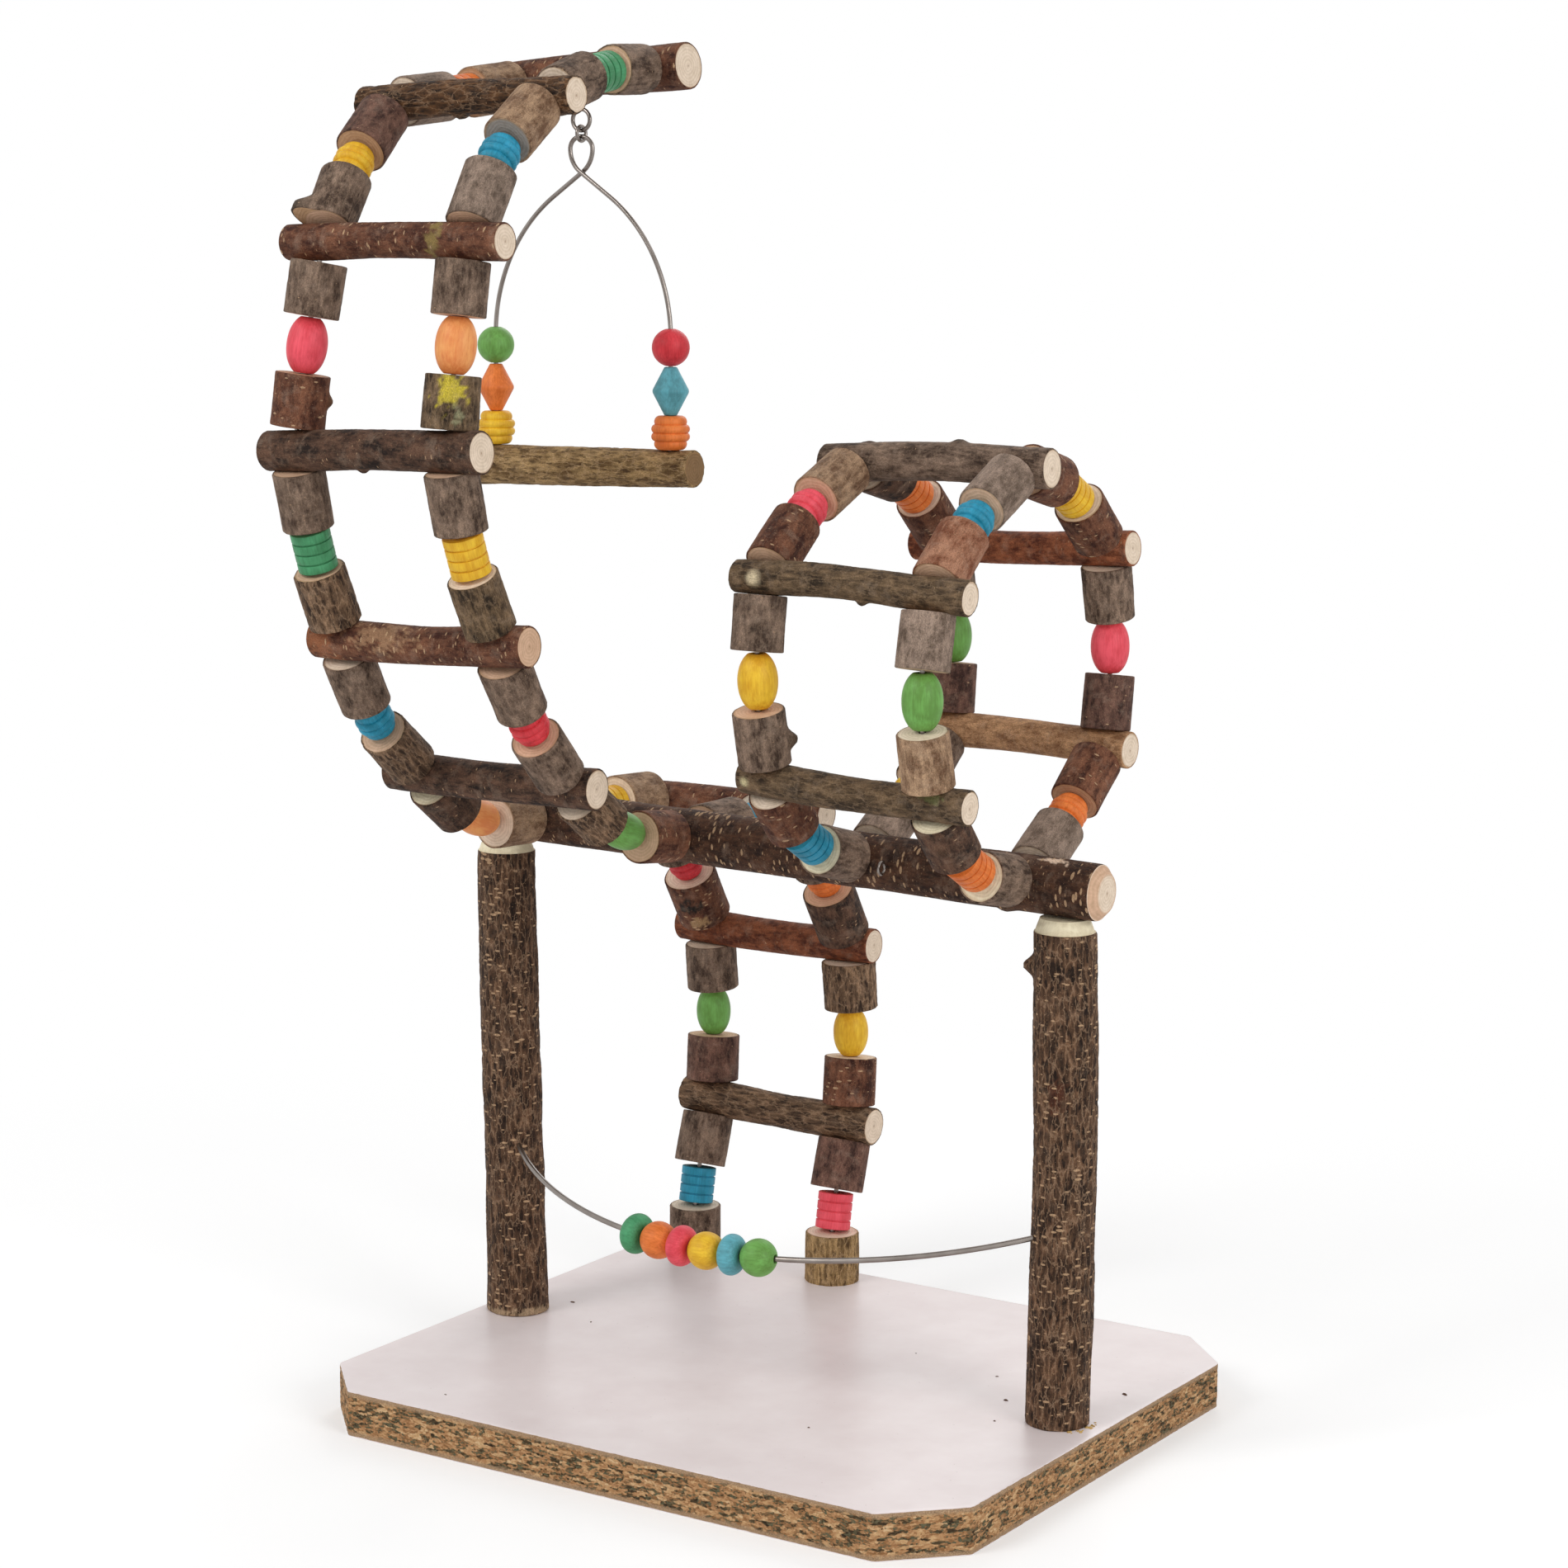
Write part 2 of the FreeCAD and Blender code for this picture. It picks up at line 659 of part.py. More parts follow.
def hanger_edges():
    """The swing's wire: up one arm, round the loop and down the other arm."""
    aside = hanger_wire_radius + hanger_cross_gap / 2
    loop_side_z = loop_top.z - math.hypot(hanger_loop_half_width, aside)
    left_arm, right_arm = [hanger_side(side, loop_side_z) for side in SIDES.values()]
    loop_left = hanger_point(1, -hanger_loop_half_width, loop_side_z)
    loop_right = hanger_point(-1, -hanger_loop_half_width, loop_side_z)
    loop = Part.Arc(loop_right, loop_top, loop_left).toShape()
    return left_arm + [loop] + right_arm[::-1]


def swing_perch(ends):
    """The swing's bark perch, drilled from above for the two wire ends."""
    left, right = swing_x - swing_perch_length / 2, swing_x + swing_perch_length / 2
    sections = [(0.0, V(), swing_perch_left_radius), (1.0, V(), swing_perch_right_radius)]
    solid = stick(V(left, eye_top.y, swing_axis(left)), V(right, eye_top.y, swing_axis(right)),
                  sections)
    bore = hanger_wire_radius + wood_bore_clearance
    depth = hanger_end_depth + swing_perch_left_radius + 3
    holes = [Part.makeCylinder(bore, depth, end - UP, UP) for end in ends]
    return solid.cut(holes)


SWING_BEADS = {"bottom": "ribbed", "middle": "diamond", "top": "ball"}
TOY_BEADS = ["disc", "ball", "disc", "ball", "disc", "ball"]


def swing_bead_centres(side):
    """Beads stand on the swing's perch, one on another."""
    x = swing_x + side * swing_bead_spacing / 2
    y = eye_top.y - side * (hanger_wire_radius + hanger_cross_gap / 2)
    height = swing_axis(x) + swing_radius(x) + seat_gap
    height += abs(swing_perch_slope) * ribbed_end_radius
    centres = {}
    for name, kind in SWING_BEADS.items():
        length = BEADS[kind].length
        centres[name] = V(x, y, height + length / 2)
        height += length + seat_gap
    return centres


def toy_bead_angles():
    """Angles of the sliding beads along the arc, in a row about its middle."""
    lengths = [BEADS[kind].length for kind in TOY_BEADS]
    row = sum(lengths) + toy_bead_gap * (len(lengths) - 1)
    start = -row / 2
    angles = []
    for length in lengths:
        angles.append((start + length / 2) / toy_radius)
        start += length + toy_bead_gap
    return angles


def on_toy_arc(angle):
    """Point of the bowed wire and its heading at an angle from the middle."""
    turn = FreeCAD.Rotation(toy_axis, math.degrees(angle))
    return toy_centre + turn.multVec(toy_middle - toy_centre), turn.multVec(V(1, 0, 0))


# ---- Build

def build_ladder():
    """Rungs, blocks, beads and side wires of the crescent and the ramp."""
    crescent_paths, ramp_paths = {}, {}
    crescent_blocks, ramp_blocks, wires = [], [], []
    for name, side in SIDES.items():
        up_path = side_path(CRESCENT, CRESCENT_BEADS, CRESCENT_FOLDS[side], ladder_x, side)
        up_path.append(past_end(up_path, rung_a.radius / 2))
        down_path = side_path(RAMP, RAMP_BEADS, ramp_folds(side), ladder_x, side)
        crescent_paths[side], ramp_paths[side] = up_path, down_path
        up_runs = side_runs(CRESCENT, up_path, CRESCENT_BEADS, CRESCENT_BLOCKS)
        down_runs = side_runs(RAMP, down_path, RAMP_BEADS, RAMP_BLOCKS)
        for label, runs, blocks in (("crescent", up_runs, crescent_blocks),
                                    ("ramp", down_runs, ramp_blocks)):
            for index, run in enumerate(runs):
                save(f"{label}_bead_{index + 1}_{name}", [run.bead])
                blocks += [run.block_one, run.block_two]
        points = up_path[:0:-1] + down_path
        points.append(points[-1] - UP * side_wire_peg)
        wires.append(swept(wire_edges(points, side_wire_bend), side_wire_radius))
    save("crescent_blocks", crescent_blocks)
    save("ramp_blocks", ramp_blocks)
    top_rung = drilled_rung(rung_a, ladder_x, crescent_paths, 3 * (len(CRESCENT) - 1))
    eye_hole = Part.makeCylinder(eye_wire_radius + screw_clearance,
                                 eye_standoff + eye_thread_length + 1,
                                 eye_top - UP * eye_standoff, UP)
    rungs = [top_rung.cut(eye_hole)]
    rungs += [drilled_rung(rung, ladder_x, crescent_paths, 3 * (index + 1))
              for index, rung in enumerate(CRESCENT[1:-1])]
    rungs += [drilled_rung(rung, ladder_x, ramp_paths, 3 * (index + 1))
              for index, rung in enumerate(RAMP[1:-1])]
    save("ladder_rungs", rungs)
    return wires, crescent_paths, ramp_paths


def past_end(path, reach):
    """A point straight on past a path's last point."""
    return path[-1] + V(path[-1] - path[-2]).normalize() * reach


def ring_wire(path):
    """One hoop of wire, open by a small gap inside the perch."""
    points = list(path)
    points[0] += V(path[1] - path[0]).normalize() * side_wire_bend
    points[-1] += V(path[-2] - path[-1]).normalize() * side_wire_bend
    return swept(wire_edges(points, side_wire_bend), side_wire_radius)


def build_ring():
    """Rungs, blocks, beads and the two hoops of the ring."""
    paths, blocks, wires = {}, [], []
    for name, side in SIDES.items():
        paths[side] = side_path(RING, RING_BEADS, RING_FOLDS[side], ring_x, side)
        for index, run in enumerate(side_runs(RING, paths[side], RING_BEADS, RING_BLOCKS)):
            save(f"ring_bead_{index + 1}_{name}", [run.bead])
            blocks += [run.block_one, run.block_two]
        wires.append(ring_wire(paths[side]))
    save("ring_blocks", blocks)
    save("ring_rungs", [drilled_rung(rung, ring_x, paths, 3 * (index + 1))
                        for index, rung in enumerate(RING[1:-1])])
    return wires, paths


def build_swing():
    """Eye, link, hanger, perch and beads of the swing, and the small eye on the perch."""
    reach = eye_wire_radius + eye_standoff + eye_thread_length
    swing_eye = screw_eye(eye_centre, eye_ring_radius, eye_wire_radius, FRONT, UP, reach)
    into_perch = FRONT * -1
    toy_eye_centre = V(toy_eye_x, 0, perch_axis_height) + FRONT * (
        perch_radius + toy_eye_standoff + toy_eye_ring_radius + toy_eye_wire_radius)
    toy_reach = toy_eye_wire_radius + toy_eye_standoff + toy_eye_thread_length
    toy_eye = screw_eye(toy_eye_centre, toy_eye_ring_radius, toy_eye_wire_radius, V(1, 0, 0),
                        into_perch, toy_reach)
    save("screw_eyes", [swing_eye, toy_eye])
    save("swing_link", [Part.makeTorus(link_radius, link_wire_radius, link_centre, V(1, 0, 0))])
    edges = hanger_edges()
    save("swing_hanger", [swept(edges, hanger_wire_radius)])
    ends = [edges[0].Vertexes[0].Point, edges[-1].Vertexes[0].Point]
    save("swing_perch", [swing_perch(ends)])
    for side_name, side in SIDES.items():
        for name, centre in swing_bead_centres(side).items():
            bead = BEADS[SWING_BEADS[name]].shape()
            save(f"swing_bead_{side_name}_{name}", [place(bead, centre, UP)])


def build_toy_wire():
    """The bowed wire, pegged into both posts, and its sliding beads."""
    edges = [Part.LineSegment(toy_left + toy_left_heading * toy_wire_peg, toy_left).toShape(),
             Part.Arc(toy_left, toy_middle, toy_right).toShape(),
             Part.LineSegment(toy_right, toy_right + toy_right_heading * toy_wire_peg).toShape()]
    save("toy_wire", [swept(edges, toy_wire_radius)])
    for index, angle in enumerate(toy_bead_angles()):
        centre, heading = on_toy_arc(angle)
        bead = BEADS[TOY_BEADS[index]].shape()
        save(f"toy_bead_{index + 1}", [place(bead, centre, heading)])


def build_frame(ladder_paths, ring_paths):
    """Base, posts, main perch and their screws."""
    save("base_board", [base_board()])
    save("left_post", [post("left", toy_left, toy_left_heading)])
    save("right_post", [post("right", toy_right, toy_right_heading)])
    bores = [screw_hole(tip, DOWN, perch_grip) for tip in perch_screw_tips.values()]
    for paths in ladder_paths:
        for path in paths.values():
            bores += wire_bores(path, 0, 2 * perch_radius)
    for path in ring_paths.values():
        for end in (0, len(path) - 1):
            bores += wire_bores(path, end, 2 * perch_radius)
    toy_eye_hole = Part.makeCylinder(
        toy_eye_wire_radius + screw_clearance, perch_radius,
        V(toy_eye_x, -perch_radius - 1, perch_axis_height), FRONT * -1)
    save("main_perch", [perch_solid(bores + [toy_eye_hole])])
    screws = [screw(tip, DOWN, perch_grip) for tip in perch_screw_tips.values()]
    screws += [screw(tip, UP, base_grip) for tip in base_screw_tips.values()]
    save("screws", screws)


def build():
    ladder_wires, crescent_paths, ramp_paths = build_ladder()
    ring_wires, ring_paths = build_ring()
    save("side_wires", ladder_wires + ring_wires)
    build_swing()
    build_toy_wire()
    build_frame([crescent_paths, ramp_paths], ring_paths)


build()
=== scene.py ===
"""Looks of the parrot play stand: barked sticks and blocks, dyed beads, wire and a chipboard base.

Sizes are in millimetres in this file and turned into metres where meshes are made.
"""

import json
import math
from collections import namedtuple

import bpy
import numpy as np
from mathutils import Matrix, Vector

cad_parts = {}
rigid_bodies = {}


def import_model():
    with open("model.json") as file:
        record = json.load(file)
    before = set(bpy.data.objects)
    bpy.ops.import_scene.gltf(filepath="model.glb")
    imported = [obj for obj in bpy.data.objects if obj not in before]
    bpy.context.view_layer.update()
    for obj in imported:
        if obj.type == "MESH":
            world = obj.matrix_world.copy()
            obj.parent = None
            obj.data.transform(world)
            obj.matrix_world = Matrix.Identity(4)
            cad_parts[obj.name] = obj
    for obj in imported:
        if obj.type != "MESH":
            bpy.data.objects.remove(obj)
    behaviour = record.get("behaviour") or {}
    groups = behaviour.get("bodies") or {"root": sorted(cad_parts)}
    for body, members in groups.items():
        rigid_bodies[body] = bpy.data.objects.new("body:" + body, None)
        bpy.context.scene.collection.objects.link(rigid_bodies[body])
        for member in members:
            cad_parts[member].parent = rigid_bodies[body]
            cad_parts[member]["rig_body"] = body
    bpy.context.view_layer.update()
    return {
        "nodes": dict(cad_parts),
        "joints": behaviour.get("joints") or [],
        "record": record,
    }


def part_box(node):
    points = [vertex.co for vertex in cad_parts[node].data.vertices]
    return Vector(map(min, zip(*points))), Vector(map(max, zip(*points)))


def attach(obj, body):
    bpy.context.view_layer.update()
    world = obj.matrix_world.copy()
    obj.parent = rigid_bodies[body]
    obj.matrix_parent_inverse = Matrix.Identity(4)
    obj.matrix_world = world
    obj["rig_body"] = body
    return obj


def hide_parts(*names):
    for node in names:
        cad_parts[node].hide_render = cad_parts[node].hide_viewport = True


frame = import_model()

MM = 0.001
CAMERA_AT = np.array((1032.58, -1591.66, 641.57))
CAMERA_AZIMUTH, CAMERA_DOWN, CAMERA_ROLL = map(math.radians, (32.97, 8.84, 0.37))
CAMERA_FOCAL_PX = 4348.26
IMAGE_PX = 1900
SENSOR = 36.0

RIM = 1.0                # sawn wood begins this far inside the bark's outline
SEED_SPREAD = 97.0       # moves the noise of each solid to a place of its own
WOOD_BORE = 1.7
PERCH_PEEL, POST_PEEL = (4.0, 4.0), (0.0, 7.0)   # bare wood at a stick's two ends
BOARD_THICKNESS, BOARD_CUT, BOARD_ROUND = 25.0, 35.0, 5.0
BEAD_RADIUS, BEAD_BORE, BEAD_MOUTH, BALL_RADIUS = 10.3, 2.2, 2.6, 10.1
BEAD_HALVES = {"drum": 10.5, "ribbed": 9.0, "oval": 14.0, "disc": 5.5, "diamond": 12.75}
DRUM_DISCS, DRUM_GROOVE, DRUM_DEPTH = 4, 0.8, 1.0
HANGER_WIRE, LOOP_HALF, ARM_BEND = 1.25, 6.4, 90.0
ARM_FALL = math.radians(34.0)

Bark = namedtuple("Bark", "low high furrow flecks lump")
Solid = namedtuple("Solid", "points tris")
Stick = namedtuple("Stick", "axis facing side stations centres radii")


def linear(rgb):
    """Display colour, 0 to 255, as the linear colour that shaders take."""
    share = np.array(rgb) / 255
    return tuple(np.where(share <= 0.04045, share / 12.92, ((share + 0.055) / 1.055) ** 2.4))


BARKS = {
    "g": Bark((64, 48, 38), (148, 124, 106), 0.3, 0.25, 0.4),
    "d": Bark((32, 20, 15), (102, 74, 58), 0.2, 0.45, 0.3),
    "r": Bark((58, 28, 19), (128, 84, 62), 0.15, 0.7, 0.3),
    "t": Bark((100, 72, 52), (178, 146, 116), 0.25, 0.3, 0.4),
    "s": Bark((96, 80, 68), (164, 142, 126), 0.2, 0.2, 0.3),
    "p": Bark((52, 32, 27), (126, 92, 78), 0.15, 0.4, 0.3),
    "f": Bark((54, 38, 27), (144, 114, 88), 0.8, 0.1, 0.5),
    "k": Bark((32, 20, 12), (112, 78, 50), 0.9, 0.35, 0.5),
    "o": Bark((112, 64, 42), (184, 134, 106), 0.2, 0.3, 0.3),
    "v": Bark((46, 35, 24), (126, 102, 76), 0.45, 0.2, 0.5),
    "w": Bark((42, 27, 18), (114, 84, 62), 1.0, 0.8, 0.6),
    "m": Bark((36, 20, 14), (90, 60, 43), 0.15, 0.9, 0.35),
    "n": Bark((92, 68, 40), (178, 146, 100), 0.75, 0.15, 0.4),
    "q": Bark((124, 86, 58), (196, 152, 112), 0.15, 0.1, 0.3),
    "e": Bark((82, 38, 23), (164, 98, 66), 0.15, 0.3, 0.3),
}
CUTS = {"c": (242, 222, 200), "p": (222, 184, 154), "t": (190, 154, 122), "y": (250, 238, 206),
        "s": (156, 146, 138), "b": (140, 110, 76)}

# Bark and cut of each solid, in the order in which the CAD has them
LOOKS = {
    "crescent_blocks": "tc dy fp gc fp gp rt gp gp pt sc tt rp fc gp gp vc gp vt gp sp ts gc gp",
    "ramp_blocks": "sc tc gc rc gc pp gt gc gp rc gc dp fc rc pp nc",
    "ring_blocks": "gy rc gp gc rp tp dc rc gc pt gc sc gy dy tc sp op sp rp rc gc pt rt sc",
    "ladder_rungs": "rc dc rp dc rc kc rc ec fc",
    "ring_rungs": "vc vc gc ec qc",
    "main_perch": "mc",
    "left_post": "wy",
    "right_post": "wy",
    "swing_perch": "nb",
}

Knot = namedtuple("Knot", "share angle radius height tone")
Patch = namedtuple("Patch", "share angle half_length half_width tone")

# Marks of single solids; angles turn about the stick's axis from the side that faces the camera
MARKS = {
    ("right_post", 0): [Knot(0.905, -94, 4.2, 5.2, (96, 70, 52)),
                        Patch(0.66, -14, 7, 5, (84, 48, 32))],
    ("left_post", 0): [Patch(0.006, 0, 2.0, 60, (172, 146, 116))],
    ("main_perch", 0): [Patch(0.925, -62, 7, 2.2, (238, 208, 182)),
                        Knot(0.86, 74, 4.5, 1.6, (80, 58, 44)),
                        Knot(0.60, 20, 3.0, 0.7, (92, 70, 52))],
    ("crescent_blocks", 6): [Knot(0.55, 80, 3.2, 2.6, (120, 88, 64))],
    ("crescent_blocks", 8): [Knot(0.08, -84, 6.5, 7.0, (78, 66, 56))],
    ("crescent_blocks", 18): [Patch(0.75, -6, 7.5, 6.0, (202, 182, 62)),
                              Patch(0.3, 14, 4.0, 2.5, (150, 146, 112))],
    ("ring_blocks", 2): [Knot(0.42, 84, 4.0, 4.4, (96, 78, 62))],
    ("ring_blocks", 3): [Knot(0.4, -12, 2.2, 0.6, (52, 38, 30))],
    ("ring_blocks", 13): [Knot(0.55, -24, 3.8, 0.9, (74, 52, 38))],
    ("ramp_blocks", 3): [Patch(0.55, -28, 5.0, 5.5, (26, 19, 15)),
                         Patch(0.2, -20, 3.0, 6.0, (168, 134, 96))],
    ("ring_rungs", 0): [Knot(0.045, 20, 2.6, 1.0, (206, 194, 150)),
                        Patch(0.85, -30, 8, 4, (112, 112, 72))],
    ("ring_rungs", 1): [Knot(0.115, 6, 4.2, 1.8, (226, 208, 172)),
                        Knot(0.56, 78, 2.6, 2.2, (70, 56, 44))],
    ("ring_rungs", 2): [Knot(0.6, -88, 4.0, 1.8, (58, 48, 42)),
                        Patch(0.06, 60, 9, 7, (112, 76, 50))],
    ("ladder_rungs", 2): [Patch(0.36, -18, 16, 7, (160, 122, 92)),
                          Patch(0.06, 0, 8, 30, (146, 92, 62))],
    ("ladder_rungs", 3): [Knot(0.45, 96, 2.4, 1.8, (66, 46, 40))],
    ("ladder_rungs", 4): [Patch(0.72, -20, 4, 9, (140, 118, 70))],
    ("ladder_rungs", 5): [Knot(0.46, 96, 4.0, 2.4, (88, 70, 56))],
}

BEAD_TONES = {
    "green": (64, 148, 98), "light_green": (104, 164, 74), "orange": (230, 122, 46),
    "peach": (248, 156, 88), "red": (208, 44, 56), "pink": (238, 76, 92),
    "yellow": (236, 184, 30), "blue": (20, 142, 174), "light_blue": (88, 166, 180),
}
BEAD_SHAPES = {
    "crescent": ["oval", "ribbed", "drum", "oval", "ribbed", "drum"],
    "ramp": ["drum", "ribbed", "oval", "drum"],
    "ring": ["drum", "oval", "ribbed", "drum", "oval", "ribbed"],
    "toy": ["disc", "ball", "disc", "ball", "disc", "ball"],
    "swing": {"bottom": "ribbed", "middle": "diamond", "top": "ball"},
}


# ---- Small helps

def unit(vectors):
    """Vectors made one long, along the last axis."""
    return vectors / np.linalg.norm(vectors, axis=-1, keepdims=True)


def circle(around):
    """Even angles of a whole turn, and their directions."""
    angles = np.arange(around) * math.tau / around
    return angles, np.stack([np.cos(angles), np.sin(angles)], axis=1)


def new_object(name, data):
    """An object in the scene."""
    made = bpy.data.objects.new(name, data)
    bpy.context.scene.collection.objects.link(made)
    return made


# ---- Smooth noise for relief

dice = np.random.default_rng(11)
ORDER = dice.permutation(256)
LATTICE = dice.uniform(-1, 1, 256)


def smooth_noise(places):
    """Smooth noise from -1 to 1 at each row of places, one cell per unit."""
    cell = np.floor(places).astype(int)
    part = places - cell
    part = part * part * (3 - 2 * part)
    total = np.zeros(len(places))
    for corner in np.ndindex(2, 2, 2):
        x, y, z = ((cell + corner) & 255).T
        value = LATTICE[ORDER[(ORDER[(ORDER[x] + y) & 255] + z) & 255]]
        total += value * np.where(corner, part, 1 - part).prod(axis=1)
    return total


# ---- Reading the frame's solids

BEAD_CENTRES = np.array([(low + high) / 2 / MM for low, high in (
    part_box(node) for node in frame["nodes"] if "_bead_" in node)])


def solids(node):
    """The separate solids of a CAD node, in the order in which it has them, in millimetres."""
    mesh = frame["nodes"][node].data
    places = np.empty(len(mesh.vertices) * 3)
    mesh.vertices.foreach_get("co", places)
    places = places.reshape(-1, 3) / MM
    mesh.calc_loop_triangles()
    tris = np.empty(len(mesh.loop_triangles) * 3, int)
    mesh.loop_triangles.foreach_get("vertices", tris)
    _, first, same = np.unique(np.round(places, 3), axis=0, return_index=True, return_inverse=True)
    points = places[first]
    tris = same.reshape(-1)[tris].reshape(-1, 3)
    labels = np.arange(len(points))
    while True:
        lower = labels.copy()
        for corner in range(3):
            np.minimum.at(lower, tris[:, corner], labels[tris].min(axis=1))
        lower = lower[lower]
        if (lower == labels).all():
            break
        labels = lower
    owners = sorted(set(labels), key=lambda label: first[labels == label].min())
    found = []
    for owner in owners:
        own = tris[labels[tris[:, 0]] == owner]
        ids, again = np.unique(own, return_inverse=True)
        found.append(Solid(points[ids], again.reshape(-1, 3)))
    return found


def cap_heading(solid, hint=None):
    """The direction square to a solid's flat ends: its largest flat, or the flat nearest a hint."""
    a, b, c = solid.points[solid.tris].transpose(1, 0, 2)
    normals = np.cross(b - a, c - a)
    areas = np.linalg.norm(normals, axis=1)
    normals = normals[areas > 1e-9] / areas[areas > 1e-9, None]
    areas = areas[areas > 1e-9]
    kinds, group = np.unique(np.round(normals, 2), axis=0, return_inverse=True)
    totals = np.bincount(group.reshape(-1), areas)
    if hint is None:
        best = totals.argmax()
    else:
        best = np.where(totals > 200, np.abs(kinds @ hint), 0).argmax()
    heading = normals[group.reshape(-1) == best].mean(axis=0)
    heading /= np.linalg.norm(heading)
    toward = np.array((0.01, 0.3, 1.0)) if hint is None else hint
    return heading if heading @ toward > 0 else -heading


def facing_sides(axis, centre):
    """Two directions square to an axis; the first faces the camera."""
    view = CAMERA_AT - centre
    facing = unit(view - axis * (axis @ view))
    return facing, np.cross(axis, facing)


def measure(solid, hint=None, spacing=1.5):
    """Centre and radius of a stick's sections, square to its axis."""
    axis = cap_heading(solid, hint)
    facing, side = facing_sides(axis, solid.points.mean(axis=0))
    along = solid.points @ axis
    low, high = along.min(), along.max()
    pairs = np.vstack([solid.tris[:, [0, 1]], solid.tris[:, [1, 2]], solid.tris[:, [2, 0]]])
    pairs = np.unique(np.sort(pairs, axis=1), axis=0)
    start, end = pairs.T
    stations = np.linspace(low, high, max(5, round((high - low) / spacing)))
    cuts = np.clip(stations, low + 0.01, high - 0.01)
    centres, radii = [], []
    for cut in cuts:
        before, after = along[start] - cut, along[end] - cut
        hit = before * after < 0
        share = (before[hit] / (before[hit] - after[hit]))[:, None]
        places = solid.points[start[hit]] * (1 - share) + solid.points[end[hit]] * share
        across = np.stack([places @ facing, places @ side])
        most, least = across.max(axis=1), across.min(axis=1)
        centres.append((most + least) / 2)
        radii.append((most - least).mean() / 2)
    return Stick(axis, facing, side, stations, np.array(centres), np.array(radii))


# ---- Meshes

LAYERS = ("local", "seed", "low", "high", "wood", "kind")    # what the shaders read at each point


class Pile:
    """Gathers the points, faces and colours of the solids that make one piece."""

    def __init__(self):
        self.columns = {name: [] for name in ("place", *LAYERS)}
        self.faces = []
        self.slots = []
        self.smooth = []
        self.count = 0

    def add_grid(self, columns, rows, around, slots, ends, closed=False):
        """A tube of rows of points; slots says each row's material, ends whether it is capped."""
        for name, values in columns.items():
            self.columns[name].append(values)
        last = rows if closed else rows - 1
        base = self.count + np.arange(around)
        turn = np.roll(np.arange(around), -1)
        for row in range(last):
            one = base + row * around
            two = base + (row + 1) % rows * around
            quads = np.stack([one, one[turn], two[turn], two], axis=1)
            self.faces += quads.tolist()
            self.slots += [slots[row]] * around
        self.smooth += [True] * (last * around)
        if ends:
            self.faces.append(base[::-1].tolist())
            self.faces.append((base + (rows - 1) * around).tolist())
            self.slots += [slots[0], slots[-1]]
            self.smooth += [False, False]
        self.count += rows * around

    def make(self, name, materials, sharp=38):
        """The piece as a Blender object, with its colours and coordinates as attributes."""
        data = {key: np.vstack(parts) for key, parts in self.columns.items() if parts}
        mesh = bpy.data.meshes.new(name)
        mesh.from_pydata((data["place"] * MM).tolist(), [], self.faces)
        for material in materials:
            mesh.materials.append(material)
        mesh.polygons.foreach_set("material_index", self.slots)
        for key in LAYERS:
            if key in data:
                layer = mesh.attributes.new(key, "FLOAT_VECTOR", "POINT")
                layer.data.foreach_set("vector", data[key].astype(np.float32).ravel())
        mesh.polygons.foreach_set("use_smooth", self.smooth)
        mesh.set_sharp_from_angle(angle=math.radians(sharp))
        mesh.update()
        return new_object(name, mesh)


def stand_in(piece, node):
    """Let a piece take a CAD node's place."""
    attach(piece, frame["nodes"][node]["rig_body"])
    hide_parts(node)


# ---- Sticks and blocks

def relief(local, bark, seed):
    """How far bark stands out: slow swellings, long furrows and a fine grain."""
    places = local + seed * SEED_SPREAD
    swell = smooth_noise(places * (0.055, 0.055, 0.04)) * bark.lump
    furrow = np.abs(smooth_noise(places * (0.42, 0.42, 0.07)))
    cross = np.abs(smooth_noise(places * (0.3, 0.3, 0.16) + 31))
    fine = smooth_noise(places * (1.3, 1.3, 0.9)) * 0.07
    ridges = np.minimum(furrow, 0.3) * 1.6 + np.minimum(cross, 0.2) * 1.2 - 0.5
    return swell + bark.furrow * ridges + fine


def stick_rows(stick, bore, peel):
    """Rows of a stick's outline: (station, share of the radius, how far inside it, is it bark)."""
    low, high = stick.stations[0], stick.stations[-1]
    ends = []
    for end, inward, peeled in ((low, 1, peel[0]), (high, -1, peel[1])):
        rows = []
        if bore:
            rows += [(end + inward * 6, 0, -bore, False), (end + inward * 0.3, 0, -bore, False),
                     (end, 0, -bore - 0.25, False)]
        rows += [(end, share, RIM, False) for share in (0.24, 0.5, 0.75, 0.93)]
        if not peeled:
            rows += [(end, 1, RIM, True), (end + inward * 0.12, 1, 0.35, True)]
        ends.append(rows)
    side = np.linspace(low, high, max(6, round((high - low) / 1.35)))
    edge = 0.55
    inner = [row for row in side if low + edge < row < high - edge]
    bark = [(low + (edge if not peel[0] else 0.15), 1, 0.0)]
    bark += [(row, 1, 0.0) for row in inner]
    for point in (low + peel[0], high - peel[1]):
        if low < point < high:
            bark += [(point - 0.12, 1, 0.0), (point + 0.12, 1, 0.0)]
    bark.append((high - (edge if not peel[1] else 0.15), 1, 0.0))
    bark.sort()
    body = [(row, share, inset, low + peel[0] <= row <= high - peel[1])
            for row, share, inset in bark]
    return ends[0] + body + ends[1][::-1]


def seated(stick, reach=1.3):
    """A block's sections, with the end away from its bead set down into the rung's bark."""
    across = np.stack([stick.facing, stick.side])
    ends = [stick.centres[k] @ across + stick.stations[k] * stick.axis for k in (0, -1)]
    apart = [np.linalg.norm(BEAD_CENTRES - end, axis=1).min() for end in ends]
    stations = stick.stations.copy()
    if apart[0] > apart[1]:
        stations[0] -= reach
    else:
        stations[-1] += reach
    return stick._replace(stations=stations)


